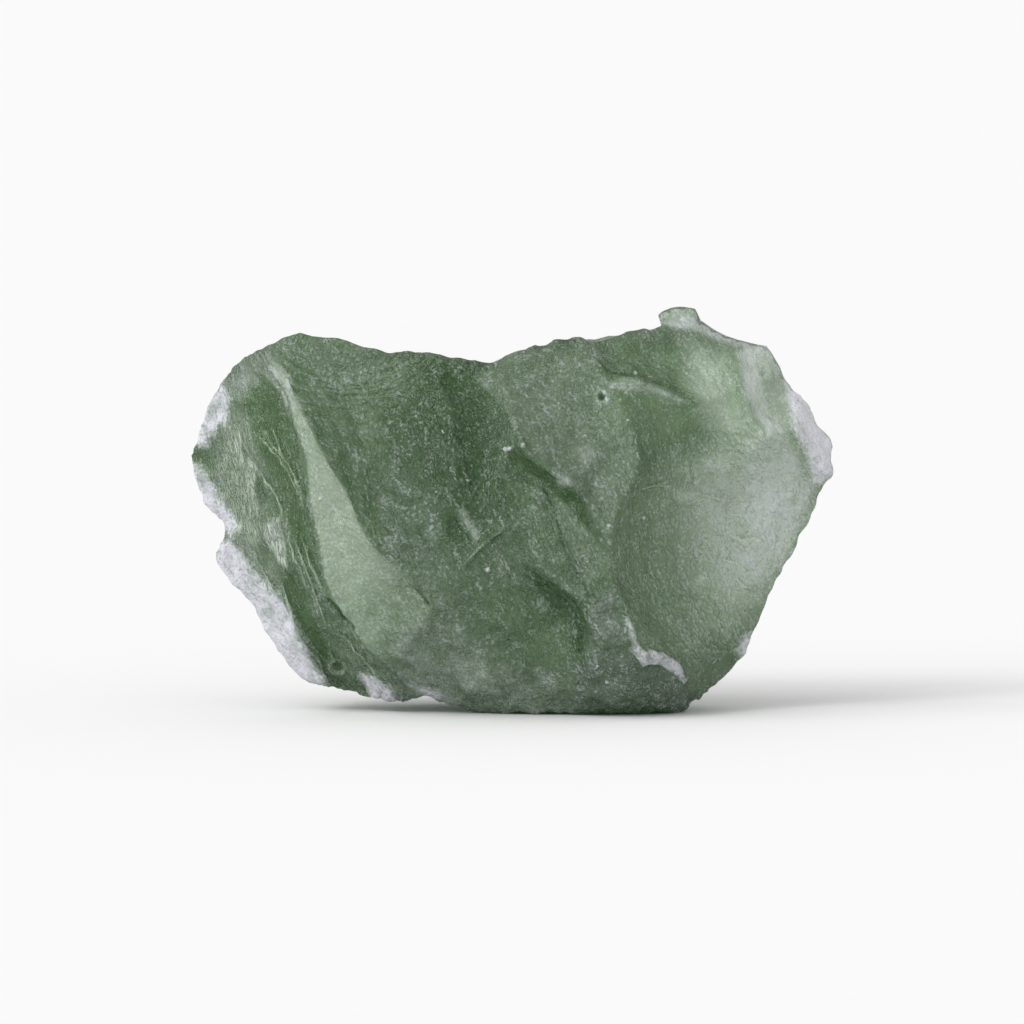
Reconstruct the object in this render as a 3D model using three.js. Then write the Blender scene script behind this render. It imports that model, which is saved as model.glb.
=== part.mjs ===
// A raw moldavite: one broken lump of green natural glass, standing on a small flat spot.
// Millimetres, +Z up. X runs along the stone, -Y is the broken face that is looked at.
// The stone is drawn as a net of ridges. Each facet is a curved skin stretched between its ridges
// and pushed in a little, as the shell-shaped scars of broken glass are.
import * as THREE from "three";
import { ImprovedNoise } from "three/addons/math/ImprovedNoise.js";
import { mergeVertices } from "three/addons/utils/BufferGeometryUtils.js";

// Driving dimensions
const stoneWidth = 33.9; // left tip to right tip
const drawnWidth = 33.9; // the width at which the ridges below were measured
const facetStep = 0.78; // side of the small faces on every skin
const weatheringDepth = 0.13; // how far the surface wanders from the drawn form
const weatheringLength = 3.1; // distance between those swells

// Corners where three or more ridges meet: [x, y, z]
const corners = {
  // round the outline seen from the front, clockwise from the left peak
  peak: [-11.1, -1.8, 20.03],
  topMiddle: [-4.2, -2.7, 18.97],
  saddle: [-0.6, -3.0, 18.68],
  archTop: [4.3, -2.6, 19.78],
  tabLeft: [7.95, -0.7, 20.18],
  tabRight: [10.0, -0.1, 20.6],
  paleTop: [12.0, 0.3, 19.55],
  shoulder: [13.45, 0.5, 19.05],
  crustTop: [14.9, 0.2, 16.9],
  rightTip: [16.98, -0.2, 12.4],
  rightFoot: [12.25, -1.1, 3.25],
  heel: [9.5, -1.7, 0.6],
  restRight: [9.1, -1.6, 0],
  restMiddle: [3.4, -3.2, 0],
  restLeft: [-2.0, -2.0, 0],
  toe: [-6.0, -1.8, 0.85],
  flankFoot: [-9.2, -1.0, 1.05],
  lowerLeft: [-10.6, -0.4, 1.6],
  notch: [-14.98, -0.2, 9.15],
  leftTip: [-17.02, 0.5, 13.4],
  leftBrow: [-15.35, 0.1, 16.95],
  topLeft: [-14.6, 0.2, 18.25],
  bandTop: [-13.1, -0.9, 19.05],
  // on the front face
  crestTop: [-11.1, -4.6, 16.1],
  hook: [-6.7, -7.1, 8.7],
  crescentFoot: [-4.0, -6.7, 6.0],
  spur: [-7.0, -4.0, 2.7],
  flankTop: [-13.6, -2.6, 15.5],
  foldMiddle: [-12.0, -3.8, 9.6],
  dishFoot: [-3.6, -6.8, 9.3],
  glint: [0.6, -7.2, 14.4],
  wedgeTip: [-0.2, -6.3, 14.0],
  wedgeEnd: [3.8, -7.3, 11.2],
  crackTop: [0.5, -6.5, 13.0],
  crackFoot: [4.1, -6.9, 6.1],
  veeTop: [-0.3, -6.9, 10.15],
  veeFoot: [-2.4, -7.3, 8.1],
  gullyTip: [0.8, -7.1, 8.6],
  gullyNotch: [0.2, -6.95, 7.8],
  gullyFoot: [3.4, -5.5, 2.7],
  knobTop: [5.3, -7.2, 7.35],
  veinStart: [6.9, -6.5, 3.4],
  veinEnd: [9.2, -4.3, 1.9],
  bowlTop: [6.75, -6.0, 13.2],
  bowlLeft: [5.3, -7.0, 10.4],
  bowlRight: [15.0, -1.9, 14.8],
  paleFoot: [13.4, -2.9, 14.6],
  paleMiddle: [12.1, -2.5, 17.2],
  ledgeLeft: [5.1, -4.6, 17.7],
  ledgeEnd: [9.3, -3.9, 16.5],
  // behind the outline, where the sides turn into the back
  backPeak: [-11.4, 3.4, 17.6],
  backTopMiddle: [-4.4, 4.3, 16.9],
  backArch: [3.8, 4.5, 17.4],
  backShoulder: [12.5, 2.4, 16.9],
  backTip: [14.9, 2.0, 12.2],
  backRightFoot: [11.2, 2.6, 5.0],
  backHeel: [7.9, 4.1, 1.7],
  backRest: [-2.4, 4.3, 1.5],
  backToe: [-6.8, 4.1, 2.4],
  backLowerLeft: [-10.6, 3.5, 4.2],
  backNotch: [-13.2, 3.0, 9.0],
  backLeftTip: [-14.6, 2.6, 13.2],
  backTopLeft: [-13.3, 2.7, 16.6],
  restBackRight: [7.6, 1.9, 0],
  restBackLeft: [-0.8, 2.0, 0],
  // on the back face
  humpLeft: [-8.6, 5.6, 11.2],
  humpMiddle: [-0.8, 6.9, 9.2],
  humpRight: [6.8, 5.2, 11.4],
  humpLow: [4.2, 6.1, 4.6],
};

// Ridges: the two corners that each joins, and the points that it passes on the way
const ridges = {
  // the outline
  rimDish: [
    "peak", [-9.6, -2.1, 19.83], [-8.2, -2.4, 19.46], [-6.4, -2.6, 19.06], [-5.3, -2.7, 19.09],
    "topMiddle",
  ],
  rimSaddle: ["topMiddle", [-3.4, -2.9, 18.72], [-2.3, -3.0, 18.53], [-1.4, -3.0, 18.57], "saddle"],
  rimArch: [
    "saddle", [0.9, -2.9, 19.02], [1.8, -2.8, 19.24], [2.3, -2.8, 19.44], [3.3, -2.7, 19.88], "archTop",
  ],
  rimUpper: [
    "archTop", [5.3, -2.2, 19.86], [6.0, -1.9, 20.1], [6.7, -1.5, 20.16], [7.4, -1.1, 19.98], "tabLeft",
  ],
  rimTab: ["tabLeft", [7.72, -0.3, 20.7], [7.95, 0.0, 21.0], [9.5, 0.3, 21.3], [9.8, 0.2, 20.98], "tabRight"],
  tabBase: ["tabLeft", [9.0, -1.0, 20.0], "tabRight"],
  tabBackBase: ["tabLeft", [9.0, 1.1, 19.9], "tabRight"],
  rimBlade: ["tabRight", [11.0, 0.1, 20.02], "paleTop"],
  rimPale: ["paleTop", [12.8, 0.4, 19.25], "shoulder"],
  rimShoulder: ["shoulder", [13.85, 0.5, 18.65], [14.15, 0.4, 18.0], [14.5, 0.3, 17.35], "crustTop"],
  rimCrust: [
    "crustTop", [15.45, 0.2, 16.5], [15.8, 0.1, 15.95], [16.05, 0.0, 15.15], [16.45, 0.0, 14.5],
    [16.9, -0.1, 13.95], [16.85, -0.1, 13.2], "rightTip",
  ],
  rimBowl: [
    "rightTip", [16.4, -0.3, 11.5], [15.85, -0.4, 10.2], [15.05, -0.6, 8.9], [14.6, -0.7, 7.8],
    [13.95, -0.8, 6.7], [13.35, -0.9, 5.2], [12.85, -1.0, 4.2], "rightFoot",
  ],
  rimHeel: ["rightFoot", [11.7, -1.3, 2.35], [11.1, -1.5, 1.7], [10.3, -1.6, 1.1], "heel"],
  heelDrop: ["heel", [9.4, -1.7, 0.25], "restRight"],
  restFrontRight: ["restRight", [8.4, -2.4, 0], [6.0, -3.2, 0], "restMiddle"],
  restFrontLeft: ["restMiddle", [0.8, -3.0, 0], "restLeft"],
  rimToe: ["restLeft", [-2.8, -1.9, 0.36], [-3.6, -1.8, 0.58], [-5.1, -1.8, 0.7], "toe"],
  rimFlankFoot: ["toe", [-6.7, -1.7, 0.66], [-7.7, -1.4, 0.74], "flankFoot"],
  rimLowerLeft: ["flankFoot", [-9.9, -0.7, 1.4], "lowerLeft"],
  rimFlank: [
    "lowerLeft", [-11.5, -0.3, 2.2], [-12.6, -0.2, 3.95], [-13.25, -0.2, 5.15], [-14.3, -0.2, 6.3],
    [-15.3, -0.2, 7.65], [-15.35, -0.2, 8.4], "notch",
  ],
  rimLeftTip: [
    "notch", [-15.2, -0.1, 10.0], [-15.95, 0.1, 10.7], [-16.35, 0.2, 11.3], [-16.75, 0.4, 12.4],
    "leftTip",
  ],
  rimLeftBrow: ["leftTip", [-16.5, 0.4, 14.0], [-16.4, 0.3, 14.7], [-15.9, 0.2, 15.9], "leftBrow"],
  rimTopLeft: ["leftBrow", [-15.0, 0.1, 17.55], "topLeft"],
  rimBand: ["topLeft", [-13.9, -0.3, 18.6], "bandTop"],
  rimPeak: ["bandTop", [-12.2, -1.3, 19.48], [-11.5, -1.6, 19.78], "peak"],
  // the left flank and its folds
  browFold: ["leftBrow", [-14.7, -1.1, 16.1], "flankTop"],
  crestFold: ["flankTop", [-12.5, -3.6, 15.8], "crestTop"],
  bandEdge: ["crestTop", [-11.4, -3.9, 17.3], [-12.2, -2.3, 18.4], "bandTop"],
  foldUpper: ["flankTop", [-13.2, -3.0, 13.6], [-12.5, -3.5, 12.2], [-12.05, -3.8, 10.9], "foldMiddle"],
  foldLower: [
    "foldMiddle", [-11.85, -3.5, 7.9], [-11.9, -3.0, 6.4], [-11.3, -2.8, 4.7], [-10.9, -2.4, 3.3],
    [-10.1, -1.7, 2.1], "flankFoot",
  ],
  notchFold: ["notch", [-14.2, -1.3, 8.9], [-13.2, -2.6, 9.1], "foldMiddle"],
  spurFold: [
    "flankTop", [-12.7, -3.4, 14.1], [-11.8, -4.1, 12.6], [-11.4, -4.4, 11.0], [-11.2, -4.4, 9.2],
    [-10.7, -4.3, 7.2], [-10.0, -4.0, 5.2], [-9.3, -3.8, 4.2], [-8.2, -3.7, 3.4], "spur",
  ],
  spurToe: ["spur", [-6.5, -2.9, 1.7], "toe"],
  // the pale crescent
  crescentLeft: [
    "crestTop", [-10.95, -4.6, 14.3], [-10.8, -4.8, 12.4], [-10.5, -5.0, 10.2], [-10.1, -5.1, 8.2],
    [-9.5, -5.0, 6.4], [-8.6, -4.8, 5.2], [-7.9, -4.4, 3.8], "spur",
  ],
  crescentRight: [
    "crestTop", [-10.4, -5.3, 15.2], [-9.5, -6.1, 13.5], [-8.6, -6.7, 11.9], [-7.8, -7.0, 10.1], "hook",
  ],
  crescentLow: ["hook", [-5.5, -7.0, 7.6], "crescentFoot"],
  crescentBase: ["crescentFoot", [-5.0, -6.0, 4.4], [-6.1, -5.0, 3.3], "spur"],
  // the dish, the dark middle and the striped middle
  dishBase: ["hook", [-5.2, -7.1, 9.4], "dishFoot"],
  dishRight: ["topMiddle", [-3.6, -4.7, 16.6], [-2.8, -6.0, 14.2], [-3.1, -6.5, 11.6], "dishFoot"],
  archEdge: ["saddle", [-0.3, -4.6, 17.2], [0.1, -6.1, 15.8], "glint"],
  wedgeBack: ["glint", "wedgeTip"],
  wedgeUpper: ["glint", [1.6, -7.6, 13.6], [2.8, -7.8, 12.6], "wedgeEnd"],
  wedgeLower: ["crackTop", [1.6, -6.5, 12.3], [2.7, -6.7, 11.5], "wedgeEnd"],
  wedgeLeft: ["wedgeTip", "crackTop"],
  middleLine: ["wedgeTip", [-0.9, -6.7, 12.2], "veeTop"],
  vee: ["veeTop", [-1.3, -7.2, 9.5], "veeFoot"],
  veeToDish: ["veeFoot", "dishFoot"],
  crack: ["crackTop", [1.6, -6.9, 11.6], [2.4, -7.1, 9.4], [3.1, -7.1, 7.8], "crackFoot"],
  // the gully and the knob
  gullyUpper: ["gullyTip", [2.0, -7.0, 7.6], [3.1, -6.95, 6.8], "crackFoot"],
  gullyRight: ["crackFoot", [4.1, -6.6, 5.0], [3.9, -6.1, 3.7], "gullyFoot"],
  gullyLower: ["gullyFoot", [3.0, -5.4, 4.2], [2.2, -5.7, 5.6], [1.3, -6.3, 6.8], "gullyNotch"],
  gullyBack: ["gullyNotch", "gullyTip"],
  middleBase: ["veeFoot", [-0.6, -7.2, 7.4], "gullyNotch"],
  knobLeft: ["knobTop", [4.9, -7.3, 6.6], "crackFoot"],
  knobRight: ["knobTop", [5.9, -7.1, 6.1], [6.4, -7.0, 4.7], "veinStart"],
  knobBrow: ["gullyFoot", [4.9, -6.7, 3.1], "veinStart"],
  knobFoot: ["gullyFoot", [3.5, -4.7, 1.3], "restMiddle"],
  vein: ["veinStart", [8.0, -5.8, 3.25], [8.75, -5.0, 2.6], "veinEnd"],
  veinFoot: ["veinEnd", [9.35, -2.7, 1.2], "heel"],
  heelEdge: ["veinEnd", [10.4, -3.2, 2.9], "rightFoot"],
  // the bowl and the smooth scar above it
  bowlLower: ["bowlLeft", [5.0, -7.0, 8.8], "knobTop"],
  bowlUpper: ["bowlTop", [6.3, -6.5, 12.2], "bowlLeft"],
  bowlCrest: ["paleFoot", "bowlRight"],
  crustEdge: ["bowlRight", [15.5, -1.5, 13.8], [16.2, -0.9, 12.9], "rightTip"],
  crustBack: ["crustTop", [15.05, -0.8, 15.9], "bowlRight"],
  archLeft: ["archTop", [4.7, -3.7, 18.5], "ledgeLeft"],
  archRight: ["ledgeLeft", [5.8, -5.4, 16.5], [6.5, -6.0, 14.8], "bowlTop"],
  ledge: ["ledgeLeft", [6.6, -4.6, 17.7], [8.0, -4.3, 17.1], "ledgeEnd"],
  ledgeFade: ["ledgeEnd", [10.7, -3.3, 16.6], "paleMiddle"],
  paleUpper: ["paleMiddle", [12.0, -1.2, 18.4], "paleTop"],
  paleLower: ["paleMiddle", [12.5, -2.8, 15.9], "paleFoot"],
  // from the outline round to the back
  sidePeak: ["peak", [-11.3, 0.9, 19.3], "backPeak"],
  sideTopMiddle: ["topMiddle", [-4.4, 1.0, 18.4], "backTopMiddle"],
  sideArch: ["archTop", [4.1, 1.2, 19.1], "backArch"],
  sideShoulder: ["shoulder", [13.2, 1.7, 18.3], "backShoulder"],
  sideTip: ["rightTip", [16.1, 1.2, 12.3], "backTip"],
  sideRightFoot: ["rightFoot", [12.0, 1.0, 3.9], "backRightFoot"],
  sideHeel: ["restBackRight", "backHeel"],
  restSideRight: ["restRight", [8.9, 0.4, 0], "restBackRight"],
  restSideLeft: ["restBackLeft", [-1.9, 0.2, 0], "restLeft"],
  restBack: ["restBackRight", [3.4, 2.7, 0], "restBackLeft"],
  sideRest: ["restBackLeft", "backRest"],
  sideToe: ["toe", [-6.3, 1.4, 1.2], "backToe"],
  sideLowerLeft: ["lowerLeft", [-11.0, 1.8, 2.6], "backLowerLeft"],
  sideNotch: ["notch", [-14.3, 1.5, 9.1], "backNotch"],
  sideLeftTip: ["leftTip", [-16.0, 1.8, 13.3], "backLeftTip"],
  sideTopLeft: ["topLeft", [-14.2, 1.7, 17.7], "backTopLeft"],
  backRimTopLeft: ["backTopLeft", "backPeak"],
  backRimDish: ["backPeak", [-8.0, 3.9, 17.0], "backTopMiddle"],
  backRimArch: ["backTopMiddle", [0.0, 4.6, 16.6], "backArch"],
  backRimTab: ["backArch", [8.6, 3.7, 17.9], "backShoulder"],
  backRimShoulder: ["backShoulder", [14.0, 2.2, 14.9], "backTip"],
  backRimBowl: ["backTip", [13.6, 2.0, 8.3], "backRightFoot"],
  backRimHeel: ["backRightFoot", "backHeel"],
  backRimRest: ["backHeel", [3.0, 4.6, 1.3], "backRest"],
  backRimToe: ["backRest", "backToe"],
  backRimLowerLeft: ["backToe", "backLowerLeft"],
  backRimFlank: ["backLowerLeft", [-12.4, 3.1, 6.4], "backNotch"],
  backRimLeftTip: ["backNotch", [-14.3, 2.7, 10.9], "backLeftTip"],
  backRimBrow: ["backLeftTip", "backTopLeft"],
  // the back
  backLeftUp: ["backPeak", [-9.9, 4.9, 14.6], "humpLeft"],
  backLeftDown: ["humpLeft", [-9.9, 5.0, 7.6], "backLowerLeft"],
  backSpine: ["humpLeft", [-4.8, 6.6, 10.7], "humpMiddle"],
  backArchDown: ["backArch", [1.6, 6.2, 13.4], "humpMiddle"],
  backSpineRight: ["humpMiddle", [3.4, 6.5, 10.9], "humpRight"],
  backTipIn: ["humpRight", [11.2, 3.3, 11.3], "backTip"],
  backLowSpine: ["humpMiddle", [1.9, 6.9, 6.5], "humpLow"],
  backHeelIn: ["humpLow", [6.3, 5.4, 3.0], "backHeel"],
};

// Facets: the ridges round each, and how far its middle is pushed in (dish). Each looks away from the
// middle of the stone, or towards the given direction.
const facets = {
  brow: { round: ["rimTopLeft", "rimBand", "bandEdge", "crestFold", "browFold"], dish: 0.35 },
  flankUpper: { round: ["rimLeftBrow", "rimLeftTip", "notchFold", "foldUpper", "browFold"], dish: 0.3 },
  flankLower: { round: ["notchFold", "foldLower", "rimLowerLeft", "rimFlank"], dish: 0.25 },
  foldBand: { round: ["foldUpper", "foldLower", "rimFlankFoot", "spurToe", "spurFold"], dish: 0.45 },
  foldGroove: { round: ["spurFold", "crescentLeft", "crestFold"], dish: 0.15 },
  crescent: { round: ["crescentRight", "crescentLow", "crescentBase", "crescentLeft"], dish: 0.35 },
  dish: { round: ["rimPeak", "rimDish", "dishRight", "dishBase", "crescentRight", "bandEdge"], dish: 1.3 },
  darkMiddle: {
    round: [
      "rimSaddle", "archEdge", "wedgeBack", "middleLine", "vee", "veeToDish", "dishRight",
    ],
    dish: 0.7,
  },
  stripedMiddle: {
    round: [
      "wedgeLeft", "crack", "gullyUpper", "gullyBack", "middleBase", "vee", "middleLine",
    ],
    dish: 0.2,
  },
  wedge: { round: ["wedgeBack", "wedgeUpper", "wedgeLower", "wedgeLeft"], dish: 0.25 },
  arch: {
    round: [
      "rimArch", "archLeft", "archRight", "bowlUpper", "bowlLower", "knobLeft", "crack", "wedgeLower",
      "wedgeUpper", "archEdge",
    ],
    dish: 0.25,
  },
  gully: { round: ["gullyUpper", "gullyRight", "gullyLower", "gullyBack"], dish: 0.15 },
  apron: {
    round: [
      "dishBase", "veeToDish", "middleBase", "gullyLower", "knobFoot", "restFrontLeft", "rimToe",
      "spurToe", "crescentBase", "crescentLow",
    ],
    dish: -0.5,
  },
  knobUpper: { round: ["knobRight", "knobBrow", "gullyRight", "knobLeft"], dish: -0.25 },
  knobLower: {
    round: [
      "knobBrow", "vein", "veinFoot", "heelDrop", "restFrontRight", "knobFoot",
    ],
    dish: -0.4,
  },
  bowl: {
    round: [
      "archRight", "bowlUpper", "bowlLower", "knobRight", "vein", "heelEdge", "rimBowl", "crustEdge",
      "bowlCrest", "paleLower", "ledgeFade", "ledge",
    ],
    dish: 1.9,
  },
  heelFace: { round: ["heelEdge", "rimHeel", "veinFoot"], dish: 0.15 },
  ledgeTop: {
    round: [
      "rimUpper", "tabBase", "rimBlade", "paleUpper", "ledgeFade", "ledge", "archLeft",
    ],
    dish: 0.3,
  },
  paleStrip: {
    round: [
      "rimPale", "rimShoulder", "crustBack", "bowlCrest", "paleLower", "paleUpper",
    ],
    dish: 0.25,
  },
  crust: { round: ["rimCrust", "crustEdge", "crustBack"], dish: -0.1 },
  tabFront: { round: ["rimTab", "tabBase"], dish: 0.05 },
  tabBack: { round: ["rimTab", "tabBackBase"], dish: 0.05, towards: [0, 1, 0] },
  // the sides
  sideBrow: { round: ["rimBand", "rimPeak", "sidePeak", "backRimTopLeft", "sideTopLeft"], dish: 0.3 },
  sideDish: { round: ["rimDish", "sideTopMiddle", "backRimDish", "sidePeak"], dish: 0.5 },
  sideSaddle: { round: ["rimSaddle", "rimArch", "sideArch", "backRimArch", "sideTopMiddle"], dish: 0.5 },
  sideTab: {
    round: [
      "rimUpper", "tabBackBase", "rimBlade", "rimPale", "sideShoulder", "backRimTab", "sideArch",
    ],
    dish: 0.5,
  },
  sideCrust: { round: ["rimShoulder", "rimCrust", "sideTip", "backRimShoulder", "sideShoulder"], dish: 0.25 },
  sideBowl: { round: ["rimBowl", "sideRightFoot", "backRimBowl", "sideTip"], dish: 0.3 },
  sideHeelFace: {
    round: [
      "rimHeel", "heelDrop", "restSideRight", "sideHeel", "backRimHeel", "sideRightFoot",
    ],
    dish: 0.3,
  },
  restingSpot: {
    round: [
      "restFrontLeft", "restFrontRight", "restSideRight", "restBack", "restSideLeft",
    ],
    flat: true,
  },
  sideRestBack: { round: ["restBack", "sideHeel", "backRimRest", "sideRest"], dish: 0.2 },
  sideToeFace: { round: ["rimToe", "sideToe", "backRimToe", "sideRest", "restSideLeft"], dish: 0.3 },
  sideFlankFoot: {
    round: [
      "rimFlankFoot", "rimLowerLeft", "sideLowerLeft", "backRimLowerLeft", "sideToe",
    ],
    dish: 0.3,
  },
  sideFlank: { round: ["rimFlank", "sideNotch", "backRimFlank", "sideLowerLeft"], dish: 0.3 },
  sideLeftTipFace: { round: ["rimLeftTip", "sideLeftTip", "backRimLeftTip", "sideNotch"], dish: 0.3 },
  sideLeftBrow: {
    round: [
      "rimLeftBrow", "rimTopLeft", "sideTopLeft", "backRimBrow", "sideLeftTip",
    ],
    dish: 0.25,
  },
  // the back
  backLeft: {
    round: [
      "backLeftUp", "backLeftDown", "backRimFlank", "backRimLeftTip", "backRimBrow", "backRimTopLeft",
    ],
    dish: 0.6,
  },
  backUpper: { round: ["backRimDish", "backRimArch", "backArchDown", "backSpine", "backLeftUp"], dish: 1.0 },
  backRight: {
    round: [
      "backRimTab", "backRimShoulder", "backTipIn", "backSpineRight", "backArchDown",
    ],
    dish: 0.8,
  },
  backLowRight: {
    round: [
      "backTipIn", "backRimBowl", "backRimHeel", "backHeelIn", "backLowSpine", "backSpineRight",
    ],
    dish: 0.9,
  },
  backLowLeft: {
    round: [
      "backSpine", "backLowSpine", "backHeelIn", "backRimRest", "backRimToe", "backRimLowerLeft",
      "backLeftDown",
    ],
    dish: 0.9,
  },
};

const middle = new THREE.Vector3(0, 0, 10); // a point well inside the stone

// A ridge as points about one facet step apart, on a smooth curve through its given points
function ridgeLine(stops) {
  const through = stops.map((stop) => new THREE.Vector3(...(Array.isArray(stop) ? stop : corners[stop])));
  const curve = new THREE.CatmullRomCurve3(through, false, "centripetal");
  const count = Math.max(2, Math.round(curve.getLength() / facetStep));
  const line = curve.getSpacedPoints(count);
  line[0].copy(through[0]);
  line[count].copy(through[through.length - 1]);
  return line;
}

const lines = Object.fromEntries(Object.entries(ridges).map(([name, stops]) => [name, ridgeLine(stops)]));

// The closed loop of points round a facet, made by laying its ridges end to end
function loopOf(facetName, ridgeNames) {
  const left = ridgeNames.map((name) => lines[name]);
  const loop = [...left.shift()];
  while (left.length) {
    const end = loop[loop.length - 1];
    const next = left.findIndex((line) => line[0].equals(end) || line[line.length - 1].equals(end));
    if (next < 0) throw new Error(facetName + " isn't closed");
    const [line] = left.splice(next, 1);
    const onward = line[0].equals(end) ? line : [...line].reverse();
    loop.push(...onward.slice(1));
  }
  if (!loop.pop().equals(loop[0])) throw new Error(facetName + " doesn't meet its start");
  return loop;
}

// The mean normal of a loop, by Newell's sum
function loopNormal(loop) {
  const normal = new THREE.Vector3();
  loop.forEach((p, i) => {
    const q = loop[(i + 1) % loop.length];
    normal.x += (p.y - q.y) * (p.z + q.z);
    normal.y += (p.z - q.z) * (p.x + q.x);
    normal.z += (p.x - q.x) * (p.y + q.y);
  });
  return normal.normalize();
}

// Triangles over a loop, drawn flat along its normal and cut into ears
function earFaces(loop, normal) {
  const aside = Math.abs(normal.z) < 0.9 ? new THREE.Vector3(0, 0, 1) : new THREE.Vector3(0, 1, 0);
  const right = aside.cross(normal).normalize();
  const up = normal.clone().cross(right);
  const drawn = loop.map((p) => new THREE.Vector2(p.dot(right), p.dot(up)));
  return THREE.ShapeUtils.triangulateShape(drawn, []);
}

const edgeKey = (a, b) => (a < b ? a + "_" + b : b + "_" + a);

// For each edge, the faces on it
function edgesOf(faces) {
  const edges = new Map();
  faces.forEach((face, index) => {
    for (let side = 0; side < 3; side++) {
      const key = edgeKey(face[side], face[(side + 1) % 3]);
      if (!edges.has(key)) edges.set(key, []);
      edges.get(key).push({ index, from: face[side], to: face[(side + 1) % 3], tip: face[(side + 2) % 3] });
    }
  });
  return edges;
}

// Halves the inner edges that are too long; returns how many
function splitLongEdges(points, faces, longest) {
  const inner = [...edgesOf(faces).values()].filter((pair) => pair.length === 2);
  const long = inner.filter(([side]) => points[side.from].distanceTo(points[side.to]) > longest);
  const touched = new Set();
  let count = 0;
  long.sort(([a], [b]) => points[b.from].distanceTo(points[b.to]) - points[a.from].distanceTo(points[a.to]));
  for (const [one, other] of long) {
    if (touched.has(one.index) || touched.has(other.index)) continue;
    const half = points.push(points[one.from].clone().lerp(points[one.to], 0.5)) - 1;
    for (const side of [one, other]) {
      touched.add(side.index);
      faces[side.index] = [side.from, half, side.tip];
      faces.push([half, side.to, side.tip]);
    }
    count++;
  }
  return count;
}

const angleAt = (points, tip, a, b) =>
  points[a].clone().sub(points[tip]).angleTo(points[b].clone().sub(points[tip]));

// Turns inner edges that lie between two wide angles, so that the faces grow even
function turnEdges(points, faces) {
  const edges = edgesOf(faces);
  const touched = new Set();
  for (const pair of [...edges.values()]) {
    if (pair.length !== 2) continue;
    const [one, other] = pair;
    const crossed = edges.has(edgeKey(one.tip, other.tip));
    if (crossed || touched.has(one.index) || touched.has(other.index)) continue;
    const wide = angleAt(points, one.tip, one.from, one.to) + angleAt(points, other.tip, one.from, one.to);
    if (wide < Math.PI + 0.05) continue;
    faces[one.index] = [one.from, other.tip, one.tip];
    faces[other.index] = [other.tip, one.to, one.tip];
    touched.add(one.index).add(other.index);
    edges.set(edgeKey(one.tip, other.tip), []);
  }
}

// The neighbours of each point that isn't on the loop
function innerNeighbours(pointCount, loopLength, faces) {
  const near = Array.from({ length: pointCount }, () => new Set());
  for (const [a, b, c] of faces) {
    near[a].add(b).add(c);
    near[b].add(a).add(c);
    near[c].add(a).add(b);
  }
  return near.map((set, index) => (index < loopLength ? [] : [...set]));
}

// Draws every inner point to the middle of its neighbours, as a soap film does
function relax(points, near, rounds) {
  const mean = new THREE.Vector3();
  for (let round = 0; round < rounds; round++)
    near.forEach((set, index) => {
      if (!set.length) return;
      mean.set(0, 0, 0);
      for (const other of set) mean.add(points[other]);
      points[index].lerp(mean.divideScalar(set.length), 1);
    });
}

// How deep each point lies in the push, from 0 on the ridges to 1 at the deepest
function pushShare(near) {
  const share = near.map(() => 0);
  for (let round = 0; round < 400; round++)
    near.forEach((set, index) => {
      if (set.length) share[index] = set.reduce((sum, other) => sum + share[other], 0) / set.length + 0.01;
    });
  const deepest = Math.max(...share, 1e-9);
  return share.map((value) => value / deepest);
}

// One facet as points and faces, its first points on its ridges
function facetSkin(name, { round, dish = 0, flat = false, towards }) {
  const loop = loopOf(name, round);
  const normal = loopNormal(loop);
  const centre = loop.reduce((sum, p) => sum.add(p), new THREE.Vector3()).divideScalar(loop.length);
  const outward = towards ? new THREE.Vector3(...towards) : centre.sub(middle);
  if (normal.dot(outward) < 0) {
    loop.reverse();
    normal.negate();
  }
  const points = loop.map((p) => p.clone());
  const faces = earFaces(loop, normal);
  if (faces.length !== loop.length - 2) throw new Error(name + " crosses itself when drawn flat");
  if (flat) return { points, faces };
  for (let pass = 0; pass < 40; pass++) {
    for (let turn = 0; turn < 4; turn++) turnEdges(points, faces);
    if (!splitLongEdges(points, faces, 1.35 * facetStep)) break;
    relax(points, innerNeighbours(points.length, loop.length, faces), 4);
  }
  const near = innerNeighbours(points.length, loop.length, faces);
  relax(points, near, 300);
  pushShare(near).forEach((share, index) => points[index].addScaledVector(normal, -dish * share));
  return { points, faces };
}

// A slow swell of the surface, fading out towards the resting spot
function weather(point) {
  const noise = new ImprovedNoise();
  const at = point.clone().divideScalar(weatheringLength);
  const depth = weatheringDepth * THREE.MathUtils.smoothstep(point.z, 0.1, 2.5);
  return new THREE.Vector3(
    noise.noise(at.x, at.y, at.z),
    noise.noise(at.y + 17.3, at.z, at.x),
    noise.noise(at.z + 31.7, at.x, at.y),
  ).multiplyScalar(2 * depth);
}

function moldavite() {
  const positions = [];
  for (const [name, facet] of Object.entries(facets)) {
    const { points, faces } = facetSkin(name, facet);
    const moved = points.map((p) => p.clone().add(weather(p)));
    for (const face of faces) for (const index of face) positions.push(...moved[index].toArray());
  }
  const skin = new THREE.BufferGeometry();
  skin.setAttribute("position", new THREE.Float32BufferAttribute(positions, 3));
  const geometry = mergeVertices(skin, 1e-4).scale(...Array(3).fill(stoneWidth / drawnWidth));
  geometry.computeBoundingBox();
  const centre = geometry.boundingBox.getCenter(new THREE.Vector3());
  geometry.translate(-centre.x, -centre.y, -geometry.boundingBox.min.z);
  geometry.computeVertexNormals();
  const glass = new THREE.MeshStandardMaterial({ color: 0x5f7f5a, roughness: 0.45, metalness: 0 });
  const mesh = new THREE.Mesh(geometry, glass);
  mesh.name = "moldavite";
  return mesh;
}

const stone = new THREE.Group();
stone.add(moldavite());

export default stone;
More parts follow.
